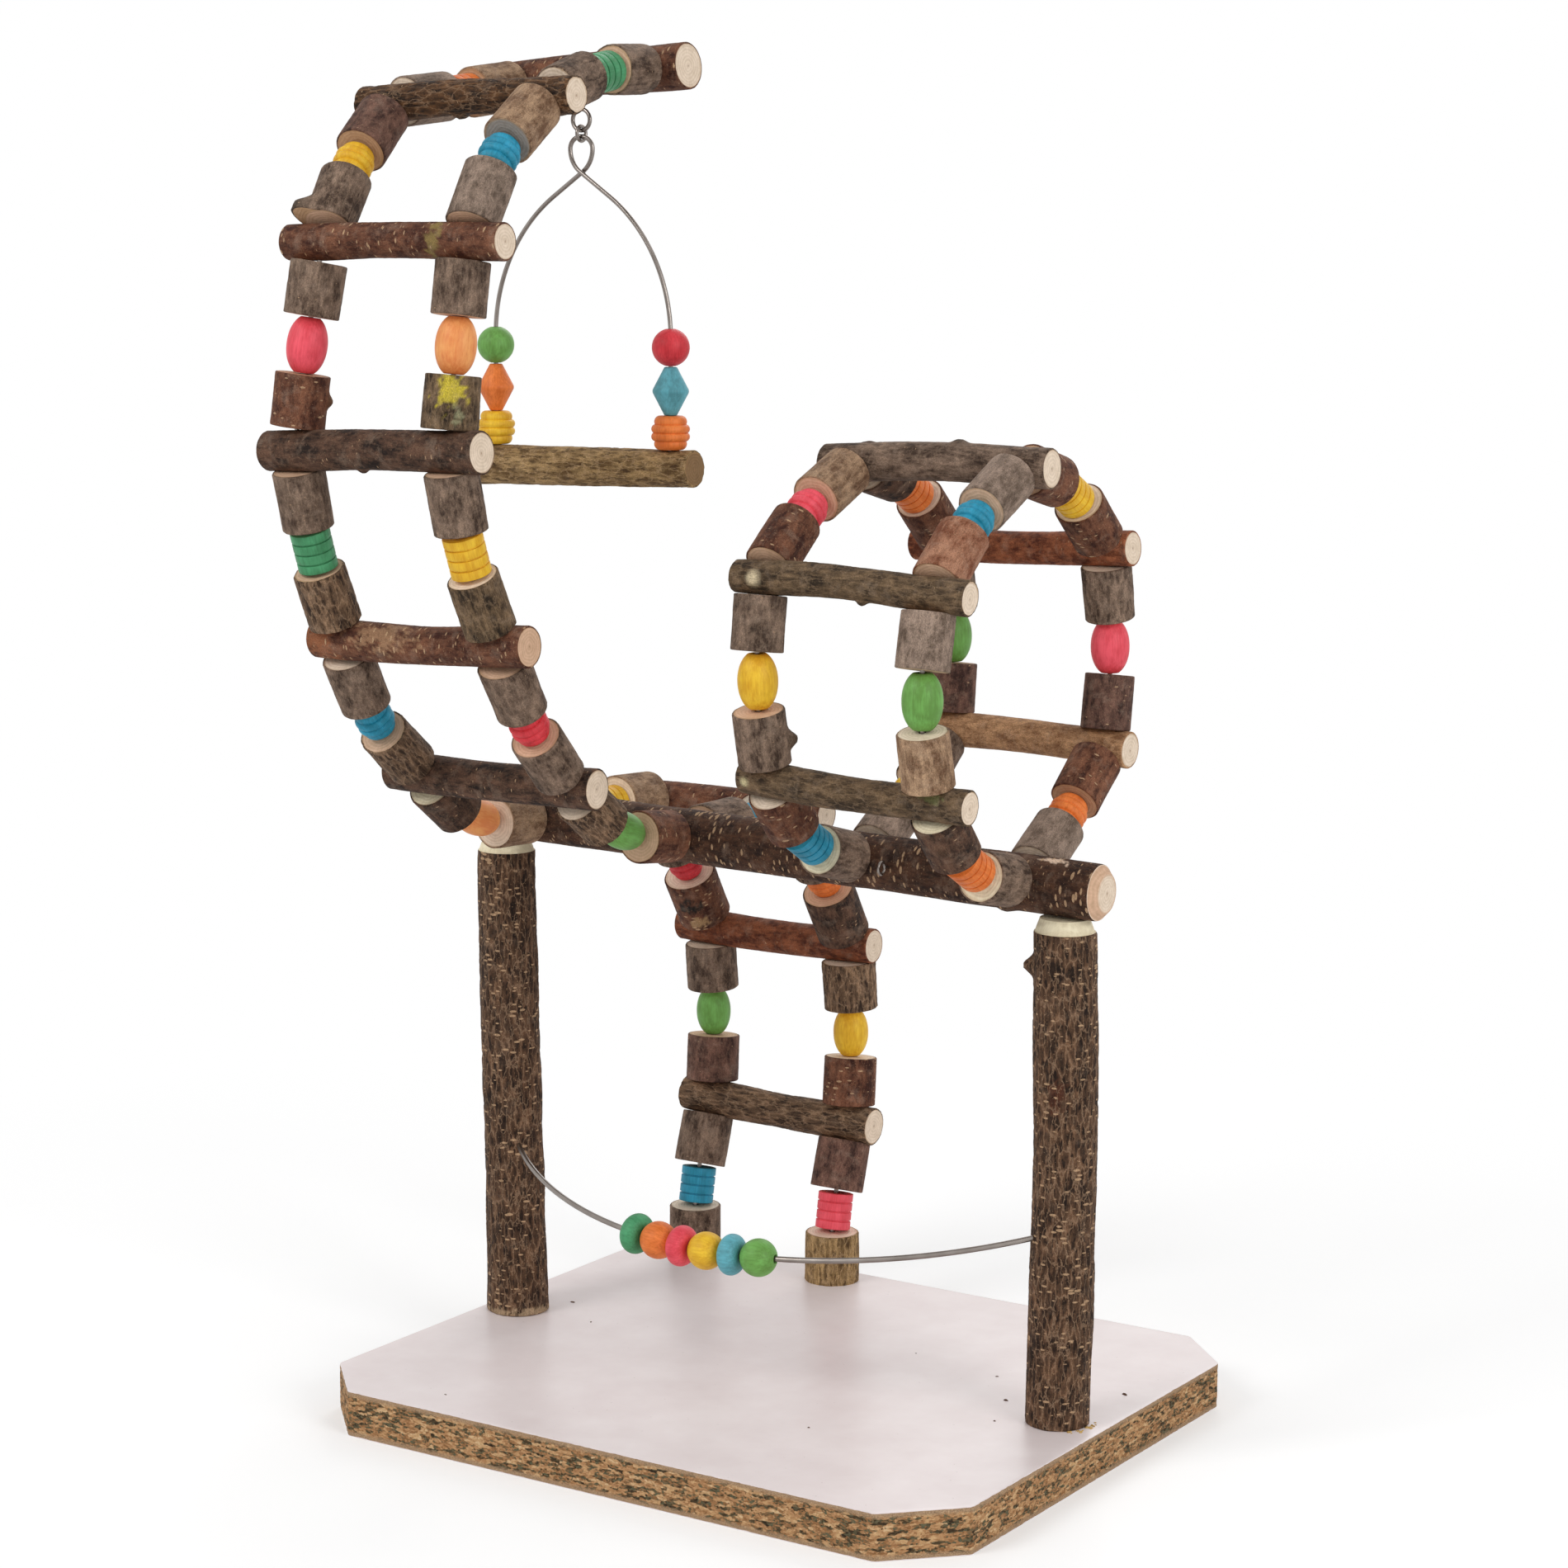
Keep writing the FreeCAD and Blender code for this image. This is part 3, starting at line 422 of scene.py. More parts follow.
def add_stick(pile, solid, look, marks, seed_number, hint=None, bore=0.0, peel=(0.0, 0.0)):
    """A barked stick or block that follows a CAD solid's sections."""
    stick = measure(solid, hint)
    if bore:
        stick = seated(stick)
    bark, cut = BARKS[look[0]], CUTS[look[1]]
    own = np.random.default_rng(seed_number)
    seed = own.uniform(0, 1, 3)
    rows = stick_rows(stick, bore, peel)
    around = 4 * round(math.tau * stick.radii.mean() / 1.3 / 4)
    angles, ring = circle(around)
    row_at, share, inset, barked = (np.repeat(column, around) for column in zip(*rows))
    angles, turn = np.tile(angles, len(rows)), np.tile(ring, (len(rows), 1))
    radius = np.interp(row_at, stick.stations, stick.radii)
    low, high = stick.stations[0], stick.stations[-1]
    middle = (low + high) / 2
    oval = 1 + 0.012 * np.cos(2 * (angles - own.uniform(0, math.tau)))
    on_bark = np.column_stack([turn * radius[:, None], row_at - middle])
    height = relief(on_bark, bark, seed)
    from_peel = np.minimum(row_at - low - peel[0], high - peel[1] - row_at)
    if peel[0] or peel[1]:
        height *= np.clip(from_peel / 0.3, 0, 1)
        height -= np.where(from_peel < 0, 0.5, 0)
    full = radius * oval + height
    low_tone = np.tile(linear(bark.low), (len(row_at), 1)) * (1 + 0.12 * own.uniform(-1, 1))
    high_tone = np.tile(linear(bark.high), (len(row_at), 1)) * (1 + 0.12 * own.uniform(-1, 1))
    for mark in marks:
        around_gap = np.angle(np.exp(1j * (angles - math.radians(mark.angle))))
        along_gap = row_at - (low + (high - low) * mark.share)
        tone = np.array(linear(mark.tone))
        if isinstance(mark, Knot):
            apart = np.hypot(around_gap * radius, along_gap) / mark.radius
            full += mark.height * np.clip(1.25 * np.exp(-(apart ** 2)) - 0.08, 0, 1) * (share > 0.9)
            weight = np.clip(1.5 - 1.2 * apart, 0, 1)
        else:
            rough = smooth_noise(on_bark * (0.35, 0.35, 0.25) + seed * 50)
            rough += smooth_noise(on_bark * (0.9, 0.9, 0.7) + seed * 50)
            apart = np.hypot(around_gap * radius / mark.half_width, along_gap / mark.half_length)
            weight = np.clip((1.15 - apart + rough * 0.8) * 3, 0, 1)
        low_tone += (tone * 0.8 - low_tone) * weight[:, None]
        high_tone += (tone - high_tone) * weight[:, None]
    reach = np.where(share > 0, (full - inset) * share, -inset)
    saw = smooth_noise(np.column_stack([turn * reach[:, None] * 0.5, row_at * 0]) + seed * 60)
    row_at = row_at + np.where(barked | (share == 0) | (share == 1), 0, saw * 0.12)
    centre = np.column_stack([np.interp(row_at, stick.stations, offsets)
                              for offsets in stick.centres.T])
    flat = turn * reach[:, None]
    place = (centre + flat) @ np.stack([stick.facing, stick.side]) + row_at[:, None] * stick.axis
    count = len(place)
    wood = np.tile(linear(cut), (count, 1))
    is_side = (share == 1) & ~barked
    wood[is_side] = linear(CUTS["y" if look[0] == "w" else "p"])
    kind = np.tile((bark.furrow, bark.flecks, 1.0), (count, 1))
    kind[:, 2] = np.where(is_side, 60, radius - RIM)
    slots = [0 if one[3] and two[3] else 1 for one, two in zip(rows, rows[1:])]
    pile.add_grid({"place": place, "local": np.column_stack([flat, row_at - middle]),
                   "seed": np.tile(seed, (count, 1)), "low": low_tone, "high": high_tone,
                   "wood": wood, "kind": kind}, len(rows), around, slots, ends=True)


def barked_node(node, materials, hint=None, bore=0.0, peel=(0.0, 0.0)):
    """One piece of barked sticks in place of a CAD node."""
    pile = Pile()
    looks = LOOKS[node].split()
    for index, solid in enumerate(solids(node)):
        seed_number = sum(map(ord, node)) * 100 + index
        marks = MARKS.get((node, index), [])
        add_stick(pile, solid, looks[index], marks, seed_number, hint, bore, peel)
    piece = pile.make(f"{node}_bark", materials)
    stand_in(piece, node)


# ---- Beads

def arc_points(one, middle, two, count=12):
    """Points of the arc through three (radius, height) points."""
    one, middle, two = (np.array(point, float) for point in (one, middle, two))
    rows = 2 * np.array([middle - one, two - one])
    centre = np.linalg.solve(rows, [middle @ middle - one @ one, two @ two - one @ one])
    start, halfway, end = (math.atan2(*(point - centre)[::-1]) for point in (one, middle, two))
    turn = math.remainder(halfway - start, math.tau) + math.remainder(end - halfway, math.tau)
    angles = start + turn * np.linspace(0, 1, count)
    radius = np.hypot(*(one - centre))
    return [tuple(centre + radius * np.array((math.cos(a), math.sin(a)))) for a in angles]


def soft_corners(points, reach=0.45):
    """A polygonal outline with each corner cut by a small round."""
    out = []
    for index, point in enumerate(points):
        if index in (0, len(points) - 1):
            out.append(point)
            continue
        corner = np.array(point)
        before, after = np.array(points[index - 1]), np.array(points[index + 1])
        step_one = min(reach, np.linalg.norm(before - corner) * 0.4)
        step_two = min(reach, np.linalg.norm(after - corner) * 0.4)
        start = corner + unit(before - corner) * step_one
        end = corner + unit(after - corner) * step_two
        out += [tuple(start), tuple((start + end + 2 * corner) / 4), tuple(end)]
    return out


def bead_outline(shape):
    """Half outline of a bead from one bore mouth to the other, as (radius, height)."""
    if shape == "ball":
        mouth = math.asin(BEAD_MOUTH / BALL_RADIUS)
        angles = np.linspace(mouth, math.pi - mouth, 36)
        return [(BALL_RADIUS * math.sin(a), -BALL_RADIUS * math.cos(a)) for a in angles]
    half = BEAD_HALVES[shape]
    points, last = [(BEAD_MOUTH, -half)], [(BEAD_MOUTH, half)]
    if shape == "drum":
        pitch = (2 * half + DRUM_GROOVE) / DRUM_DISCS
        for disc in range(DRUM_DISCS):
            low = disc * pitch - half
            high = low + pitch - DRUM_GROOVE
            points += [(BEAD_RADIUS, low), (BEAD_RADIUS, high)]
            if disc < DRUM_DISCS - 1:
                points += [(BEAD_RADIUS - DRUM_DEPTH, row) for row in (high, low + pitch)]
        return soft_corners(points + last)
    if shape == "ribbed":
        grooves, ribs = (6.6, 8.45, 9.27, 8.45, 6.6), (8.65, 10.3, 10.3, 8.65)
        pitch = 2 * half / len(ribs)
        for index, rib in enumerate(ribs):
            low = index * pitch - half
            points += arc_points((grooves[index], low), (rib, low + pitch / 2),
                                 (grooves[index + 1], low + pitch))
        return points + last
    if shape == "oval":
        full = [(BEAD_RADIUS * (1 - (abs(height) / 15.6) ** 2.1) ** (1 / 2.1), height)
                for height in np.linspace(-half, half, 37)]
        return soft_corners(points + full[:1], 0.4) + full[1:] + last
    if shape == "disc":
        return points + arc_points((5, -half), (11, 0), (5, half), 30) + last
    sides = [(3.4, -half), (9.7, -0.7), (9.7, 0.7), (3.4, half)]
    return soft_corners(points + sides + last, 0.6)


def bead_shape(node):
    """Which shape a bead node has."""
    words = node.split("_")
    if words[0] == "swing":
        return BEAD_SHAPES["swing"][words[3]]
    return BEAD_SHAPES[words[0]][int(words[2]) - 1]


def bead_axis(node, centre):
    """A bead's axis, from the joint that moves it."""
    joint = next(joint for joint in frame["joints"] if joint["child"] == node)
    axis = np.array(joint["axis"])
    if node.startswith("toy"):
        axis = unit(np.cross(axis, centre - np.array(joint["pos_m"]) / MM))
    return axis


def add_bead(node, materials):
    """A turned bead in place of its CAD node."""
    low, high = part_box(node)
    centre = np.array((low + high) / 2) / MM
    axis = bead_axis(node, centre)
    facing, side = facing_sides(axis, centre)
    outline = bead_outline(bead_shape(node))
    inner = outline[-1][1] - 0.4
    outline += [(BEAD_BORE, row) for row in (inner, 0.0, -inner)]
    around = 56
    ring = circle(around)[1]
    radius, height = (np.repeat(column, around) for column in zip(*outline))
    seed = np.random.default_rng(sum(map(ord, node)) * 31).uniform(0, 1, 3)
    flat = np.tile(ring, (len(outline), 1)) * radius[:, None]
    local = np.column_stack([flat, height])
    flat = flat * (1 + 0.006 * smooth_noise(local * 0.12 + seed * 40))[:, None]
    place = centre + flat @ np.stack([facing, side]) + height[:, None] * axis
    pile = Pile()
    pile.add_grid({"place": place, "local": local, "seed": np.tile(seed, (len(place), 1))},
                  len(outline), around, [0] * len(outline), ends=False, closed=True)
    piece = pile.make(f"{node}_turned", materials, sharp=50)
    stand_in(piece, node)


# ---- Swing wire

def hanger_route():
    """The swing wire's middle line: up one arm, round the loop and down the other."""
    low, high = (np.array(corner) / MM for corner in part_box("swing_hanger"))
    middle, half_size = (low + high) / 2, (high - low) / 2 - HANGER_WIRE
    spread, aside = half_size[0], half_size[1]
    loop = math.hypot(LOOP_HALF, aside)
    loop_side = high[2] - HANGER_WIRE - loop
    fall, rise = math.sin(ARM_FALL), math.cos(ARM_FALL)
    neck = LOOP_HALF / (1 - fall)
    crossing = loop_side - neck * rise
    arm_top = crossing - (spread - ARM_BEND * (1 - fall)) * fall / rise
    arm_end = arm_top - ARM_BEND * rise
    arm = [(spread, height) for height in np.linspace(low[2], arm_end, 30)]
    arm += [(spread - ARM_BEND * (1 - math.cos(turn)), arm_end + ARM_BEND * math.sin(turn))
            for turn in np.linspace(0, math.pi / 2 - ARM_FALL, 40)[1:]]
    arm += [(arm[-1][0] * (1 - share), arm_top + (crossing - arm_top) * share)
            for share in np.linspace(0, 1, 12)[1:]]
    arm += [(neck * (1 - math.sin(turn)) - LOOP_HALF, loop_side - neck * math.cos(turn))
            for turn in np.linspace(ARM_FALL, math.pi / 2, 20)[1:]]
    left = [(side_x, -aside, height) for side_x, height in arm]
    right = [(-side_x, aside, height) for side_x, height in arm]
    over = [(-math.cos(turn) * LOOP_HALF, -math.cos(turn) * aside,
             loop_side + math.sin(turn) * loop) for turn in np.linspace(0, math.pi, 30)[1:-1]]
    return np.array(left + over + right[::-1]) + (*middle[:2], 0.0)


def add_hanger(material, around=20):
    """A smooth round wire along the hanger's route."""
    route = hanger_route()
    along = unit(np.gradient(route, axis=0))
    across = unit(np.cross(along, (0.0, 1.0, 0.0)))
    up = np.cross(across, along)
    ring = circle(around)[1] * HANGER_WIRE
    place = route[:, None] + across[:, None] * ring[:, :1] + up[:, None] * ring[:, 1:]
    place = place.reshape(-1, 3)
    pile = Pile()
    pile.add_grid({"place": place}, len(route), around, [0] * len(route), ends=True)
    stand_in(pile.make("swing_hanger_wire", [material]), "swing_hanger")


# ---- Base board

def board_outline(low, high, cut=BOARD_CUT, corner=BOARD_ROUND, spacing=1.3):
    """Octagon with rounded corners, as evenly spaced points, counter-clockwise."""
    corners = [(low[0], high[1] - cut), (low[0], low[1] + cut), (low[0] + cut, low[1]),
               (high[0] - cut, low[1]), (high[0], low[1] + cut), (high[0], high[1] - cut),
               (high[0] - cut, high[1]), (low[0] + cut, high[1])]
    points = []
    reach = corner * math.tan(math.pi / 8)
    for index, here in enumerate(corners):
        here = np.array(here)
        one, two = (here + unit(np.array(other) - here) * reach
                    for other in (corners[index - 1], corners[(index + 1) % len(corners)]))
        points += [one * (1 - s) ** 2 + here * 2 * s * (1 - s) + two * s ** 2
                   for s in np.linspace(0, 1, 6)]
    out = []
    for one, two in zip(points, points[1:] + points[:1]):
        steps = max(1, round(np.linalg.norm(two - one) / spacing))
        out += [one + (two - one) * step / steps for step in range(steps)]
    return np.array(out)


def add_board(materials):
    """Melamine faces over a chipboard core whose sawn edges are rough."""
    low, high = (np.array(corner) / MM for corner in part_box("base_board"))
    outline = board_outline(low, high)
    around = len(outline)
    ahead = np.roll(outline, -1, axis=0) - np.roll(outline, 1, axis=0)
    outward = unit(np.stack([ahead[:, 1], -ahead[:, 0]], axis=1))
    top = high[2]
    rows = [(0, 3, 1), (0, 0.6, 1), (0.12, 0.15, 1), (0.5, 0.05, 0)]
    rows += [(height, 0.0, 0) for height in np.linspace(1.3, top - 1.3, 18)]
    rows += [(top - 0.5, 0.05, 1), (top - 0.12, 0.15, 1), (top, 0.6, 1), (top, 3, 1)]
    heights, insets, slots = zip(*rows)
    height, inset = np.repeat(heights, around), np.repeat(insets, around)
    flat = np.tile(outline, (len(rows), 1))
    away = np.tile(outward, (len(rows), 1))
    local = np.column_stack([flat, height])
    pits = np.minimum(smooth_noise(local * (0.5, 0.5, 0.75)), 0) * 0.5
    pits += smooth_noise(local * 1.1) * 0.1
    chipped = np.minimum(smooth_noise(local * 0.35 + 9) + 0.45, 0) * 1.2
    depth = np.where(inset < 0.1, pits, np.where(inset < 1, chipped * 0.5, 0)) - inset
    place = np.column_stack([flat + away * depth[:, None], height])
    pile = Pile()
    pile.add_grid({"place": place, "local": place}, len(rows), around, slots, ends=True)
    piece = pile.make("base_board_faced", materials)
    stand_in(piece, "base_board")


def pixel_on_board(px, py):
    """Where the line of sight through a pixel meets the board's top."""
    fw, right, up = camera_axes()
    line = fw * CAMERA_FOCAL_PX + right * (px - IMAGE_PX / 2) - up * (py - IMAGE_PX / 2)
    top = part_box("base_board")[1].z / MM
    return CAMERA_AT + line * (top - CAMERA_AT[2]) / line[2]


def add_crumbs(material):
    """Bark crumbs on the board and splinters at the right post's foot."""
    own = np.random.default_rng(5)
    sides = 7
    verts, faces = [], []
    spots = [(*pixel_on_board(px, py), size) for px, py, size in (
        (694, 1578, 0.7), (716, 1602, 0.5), (980, 1730, 0.6), (1219, 1697, 0.9), (1363, 1690, 1.0),
        (1208, 1668, 0.5), (1205, 1722, 0.6), (540, 1690, 0.4), (1110, 1640, 0.4))]
    low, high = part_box("right_post")
    middle = np.array((low + high) / 2) / MM
    foot = math.radians(-20)
    for _ in range(16):
        angle = foot + own.uniform(-0.8, 0.8)
        reach = own.uniform(17.6, 20.5)
        spots.append((middle[0] + reach * math.cos(angle), middle[1] + reach * math.sin(angle),
                      spots[0][2], own.uniform(0.4, 1.1)))
    for x, y, z, size in spots:
        turn = own.uniform(0, math.tau)
        length = size * own.uniform(1.0, 2.6)
        start = len(verts)
        for ring_height, ring_share in ((-0.05, 1.0), (size * 0.5, 0.75), (size * 0.8, 0.3)):
            for corner in range(sides):
                angle = corner * math.tau / sides
                wobble = ring_share * own.uniform(0.8, 1.2)
                a, b = math.cos(angle) * length * wobble, math.sin(angle) * size * wobble
                verts.append((x + a * math.cos(turn) - b * math.sin(turn),
                              y + a * math.sin(turn) + b * math.cos(turn), z + ring_height))
        for row_start in (start, start + sides):
            for corner in range(sides):
                one, two = row_start + corner, row_start + (corner + 1) % sides
                faces.append((one, two, two + sides, one + sides))
        faces.append(tuple(range(start + 2 * sides, start + 3 * sides)))
        faces.append(tuple(range(start + sides - 1, start - 1, -1)))
    mesh = bpy.data.meshes.new("crumbs")
    mesh.from_pydata((np.array(verts) * MM).tolist(), [], faces)
    mesh.materials.append(material)
    piece = new_object("crumbs", mesh)
    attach(piece, "stand")


# ---- Materials

class Nodes:
    """A material's node tree with short calls."""

    def __init__(self, name):
        self.material = bpy.data.materials.new(name)
        self.material.use_nodes = True
        self.tree = self.material.node_tree
        self.shader = self.tree.nodes["Principled BSDF"]

    def add(self, kind, inputs=None, **settings):
        """A node with its settings, and its inputs as values or as sockets to link from."""
        made = self.tree.nodes.new(f"ShaderNode{kind}")
        for key, value in settings.items():
            setattr(made, key, value)
        for key, value in (inputs or {}).items():
            self.put(made.inputs[key], value)
        return made

    def put(self, socket, value):
        """Link an input to a socket, or give it a value."""
        if isinstance(value, bpy.types.NodeSocket):
            self.tree.links.new(value, socket)
        else:
            socket.default_value = value

    def attribute(self, name):
        return self.add("Attribute", attribute_name=name).outputs["Vector"]

    def vector(self, operation, one, two):
        return self.add("VectorMath", {0: one, 1: two}, operation=operation).outputs[0]

    def scaled(self, vector, scale):
        return self.vector("MULTIPLY", vector, scale)

    def length(self, vector):
        return self.add("VectorMath", {0: vector}, operation="LENGTH").outputs["Value"]

    def own_place(self):
        """Local coordinates moved by the solid's seed, so that no two solids are alike."""
        spread = self.add("VectorMath", {0: self.attribute("seed"), "Scale": SEED_SPREAD},
                          operation="SCALE").outputs[0]
        return self.vector("ADD", self.attribute("local"), spread)

    def part(self, vector, index):
        return self.add("SeparateXYZ", {0: vector}).outputs[index]

    def joined(self, one, two, three):
        return self.add("CombineXYZ", {0: one, 1: two, 2: three}).outputs[0]

    def math(self, operation, one, two=0.0):
        return self.add("Math", {0: one, 1: two}, operation=operation).outputs[0]

    def plus(self, one, two):
        return self.math("ADD", one, two)

    def minus(self, one, two):
        return self.math("SUBTRACT", one, two)

    def times(self, one, two):
        return self.math("MULTIPLY", one, two)

    def ranged(self, value, low, high, to_low=0.0, to_high=1.0):
        made = self.add("MapRange", {"Value": value, "From Min": low, "From Max": high,
                                     "To Min": to_low, "To Max": to_high})
        return made.outputs["Result"]

    def noise(self, vector, scale=1.0, detail=3.0, rough=0.55):
        made = self.add("TexNoise", {"Vector": vector, "Scale": scale, "Detail": detail,
                                     "Roughness": rough})
        return made.outputs["Fac"]

    def noise_colour(self, vector, scale):
        return self.add("TexNoise", {"Vector": vector, "Scale": scale}).outputs["Color"]

    def cells(self, vector, scale=1.0, feature="F1", output="Distance"):
        made = self.add("TexVoronoi", {"Vector": vector, "Scale": scale}, feature=feature)
        return made.outputs[output]

    def mix(self, share, one, two, blend="MIX"):
        made = self.add("Mix", data_type="RGBA", blend_type=blend)
        for index, value in ((0, share), (6, one), (7, two)):
            if isinstance(value, tuple):
                value = (*value[:3], 1.0)
            self.put(made.inputs[index], value)
        return made.outputs[2]

    def finish(self, colour, roughness, height, distance, strength, specular):
        """Link the colour, roughness and relief to the shader."""
        bump = self.add("Bump", {"Height": height, "Distance": distance, "Strength": strength})
        for key, value in (("Base Color", colour), ("Roughness", roughness),
                           ("Normal", bump.outputs[0]), ("Specular IOR Level", specular)):
            self.put(self.shader.inputs[key], value)
        return self.material


def bark_material():
    """Bark: furrows and cracks along the stick, pale flecks across it, and fine grain."""
    n = Nodes("bark")
    place, low, high = n.own_place(), n.attribute("low"), n.attribute("high")
    furrow, flecks = (n.part(n.attribute("kind"), index) for index in (0, 1))
    long_grain = n.noise(n.scaled(place, (0.55, 0.55, 0.10)), detail=6, rough=0.62)
    blotch = n.noise(n.scaled(place, (0.12, 0.12, 0.07)), detail=3)
    fine = n.noise(n.scaled(place, (2.2, 2.2, 1.3)), detail=5, rough=0.7)
    mottle = n.noise(n.scaled(place, (0.34, 0.34, 0.24)), detail=8, rough=0.72)
    grain = n.plus(n.times(long_grain, n.plus(furrow, 0.25)),
                   n.times(mottle, n.minus(1.25, furrow)))
    light = n.ranged(n.plus(n.math("DIVIDE", grain, 1.5), n.times(blotch, 0.8)), 0.76, 1.05)
    colour = n.mix(light, low, high)

    wander = n.noise_colour(n.scaled(place, (0.5, 0.5, 0.3)), 1.0)
    warp = n.vector("ADD", n.scaled(place, (0.27, 0.27, 0.085)), n.scaled(wander, (0.7, 0.7, 0.5)))
    edge = n.cells(warp, feature="DISTANCE_TO_EDGE")
    crack = n.ranged(edge, 0.0, 0.07, 1.0, 0.0)
    core = n.times(n.ranged(edge, 0.08, 0.3), n.ranged(blotch, 0.42, 0.56))
    hollow = n.ranged(n.noise(n.scaled(place, (0.42, 0.42, 0.15)), detail=2), 0.56, 0.63)
    dark = n.mix(1.0, low, (0.42, 0.38, 0.36), "MULTIPLY")
    pale = n.mix(0.35, high, linear((186, 158, 130)))
    for where, weight, tone in ((hollow, 0.85, dark), (core, 0.6, dark), (crack, 0.75, pale)):
        colour = n.mix(n.times(where, n.times(furrow, weight)), colour, tone)

    spot = n.cells(n.scaled(place, (0.13, 0.13, 0.36)))
    size = n.times(n.noise(n.scaled(place, (0.05, 0.05, 0.05)), detail=1), 0.5)
    fleck = n.ranged(n.minus(n.times(size, flecks), spot), -0.02, 0.03)
    small = n.cells(n.scaled(place, (0.4, 0.4, 0.75)))
    dots = n.times(n.ranged(small, 0.19, 0.13), n.times(flecks, 0.4))
    tan = linear((188, 154, 120))
    colour = n.mix(n.times(n.math("MAXIMUM", fleck, dots), 0.85), colour, tan)

    silver = n.ranged(n.noise(n.scaled(place, (0.1, 0.1, 0.16)), detail=5, rough=0.65), 0.52, 0.7)
    silver = n.times(silver, n.minus(0.5, n.times(furrow, 0.35)))
    colour = n.mix(silver, colour, n.mix(0.5, high, linear((172, 152, 134))))
    tint = n.ranged(fine, 0.25, 0.75, 0.35, 1.7)
    colour = n.mix(1.0, colour, n.joined(tint, tint, tint), "MULTIPLY")
    height = n.plus(n.times(long_grain, 0.5), n.times(fine, 0.35))
    height = n.minus(height, n.times(hollow, n.times(furrow, 0.5)))
    height = n.plus(height, n.times(fleck, 0.2))
    return n.finish(colour, n.ranged(fine, 0.2, 0.8, 0.6, 0.9), height, 0.0009, 0.9, 0.2)


def cut_material():
    """Sawn wood: rings round the pith, rays, saw marks, a darker rim under the bark and painted
    shade in the bore.
    """
    n = Nodes("cut_wood")
    place = n.own_place()
    flat = n.scaled(n.attribute("local"), (1.0, 1.0, 0.0))
    off = n.scaled(n.noise_colour(place, 0.12), (3.0, 3.0, 0.0))
    centred = n.vector("SUBTRACT", n.vector("ADD", flat, off), (1.5, 1.5, 0.0))
    from_pith = n.length(centred)
    rings = n.ranged(n.math("SINE", n.times(from_pith, 3.6)), -1.0, 1.0, 0.90, 1.03)
    ray_way = n.add("VectorMath", {0: centred}, operation="NORMALIZE").outputs[0]
    ray = n.noise(n.scaled(ray_way, (9.0, 9.0, 9.0)), detail=4, rough=0.7)
    rays = n.ranged(ray, 0.3, 0.7, 0.92, 1.05)
    saw = n.ranged(n.noise(n.scaled(place, (3.2, 0.25, 0.25)), detail=2), 0.3, 0.7, 0.94, 1.04)
    mottle = n.ranged(n.noise(place, 0.25, 4), 0.3, 0.7, 0.9, 1.06)
    total = n.times(n.times(rings, rays), n.times(saw, mottle))
    shade = n.joined(total, n.math("POWER", total, 1.15), n.math("POWER", total, 1.4))
    colour = n.mix(1.0, n.attribute("wood"), shade, "MULTIPLY")

    reach, edge = n.length(flat), n.part(n.attribute("kind"), 2)
    pith = n.ranged(from_pith, 1.0, 0.3)
    rim = n.ranged(n.math("DIVIDE", reach, edge), 0.93, 1.0)
    # Painted shade: the walls and bottom of the bore are darkened to near black-brown
    bore_shade = n.times(n.ranged(reach, 2.0, 1.72), n.ranged(edge, 11.9, 12.0))
    for where, weight, tone in ((pith, 0.6, (150, 112, 78)), (rim, 0.55, (168, 130, 86)),
                                (bore_shade, 0.75, (46, 34, 26))):
        colour = n.mix(n.times(where, weight), colour, linear(tone))
    return n.finish(colour, n.ranged(saw, 0.94, 1.04, 0.62, 0.78), total, 0.0012, 0.5, 0.25)


def dyed_material(name, tone):
    """Dyed turned wood: long grain lines, pores and uneven dye."""
    n = Nodes(f"bead_{name}")
    place, tone = n.own_place(), linear(tone)
    grain = n.noise(n.scaled(place, (0.95, 0.95, 0.07)), detail=6, rough=0.65)
    pores = n.ranged(n.noise(n.scaled(place, (3.6, 3.6, 0.45)), detail=2), 0.62, 0.72)
    uneven = n.noise(n.scaled(place, (0.13, 0.13, 0.09)), detail=2)
    lift = n.ranged(n.plus(grain, uneven), 0.8, 1.22)
    deep = tuple(channel * share for channel, share in zip(tone, (0.82, 0.72, 0.7)))
    pale = tuple(min(channel * 1.15 + 0.02, 0.9) for channel in tone)
    colour = n.mix(lift, deep, pale)
    colour = n.mix(n.times(pores, 0.35), colour, tuple(channel * 0.5 for channel in tone))
    height = n.minus(grain, n.times(pores, 0.5))
    return n.finish(colour, n.ranged(grain, 0.3, 0.7, 0.42, 0.58), height, 0.0002, 0.6, 0.35)


def board_face_material():
    """Pinkish white melamine with a faint mottle, scuffs and dust."""
    n = Nodes("melamine")
    place = n.attribute("local")
    mottle = n.noise(place, 0.03, 3)
    dust = n.ranged(n.cells(place, 0.11), 0.055, 0.035)
    colour = n.mix(n.ranged(mottle, 0.3, 0.7), linear((234, 221, 220)), linear((242, 231, 230)))
    colour = n.mix(n.times(dust, 0.3), colour, linear((150, 132, 122)))
    rough = n.ranged(n.noise(place, 0.2, 4), 0.3, 0.7, 0.3, 0.4)
    return n.finish(colour, rough, n.noise(place, 2.5, 2), 0.00004, 0.5, 0.4)


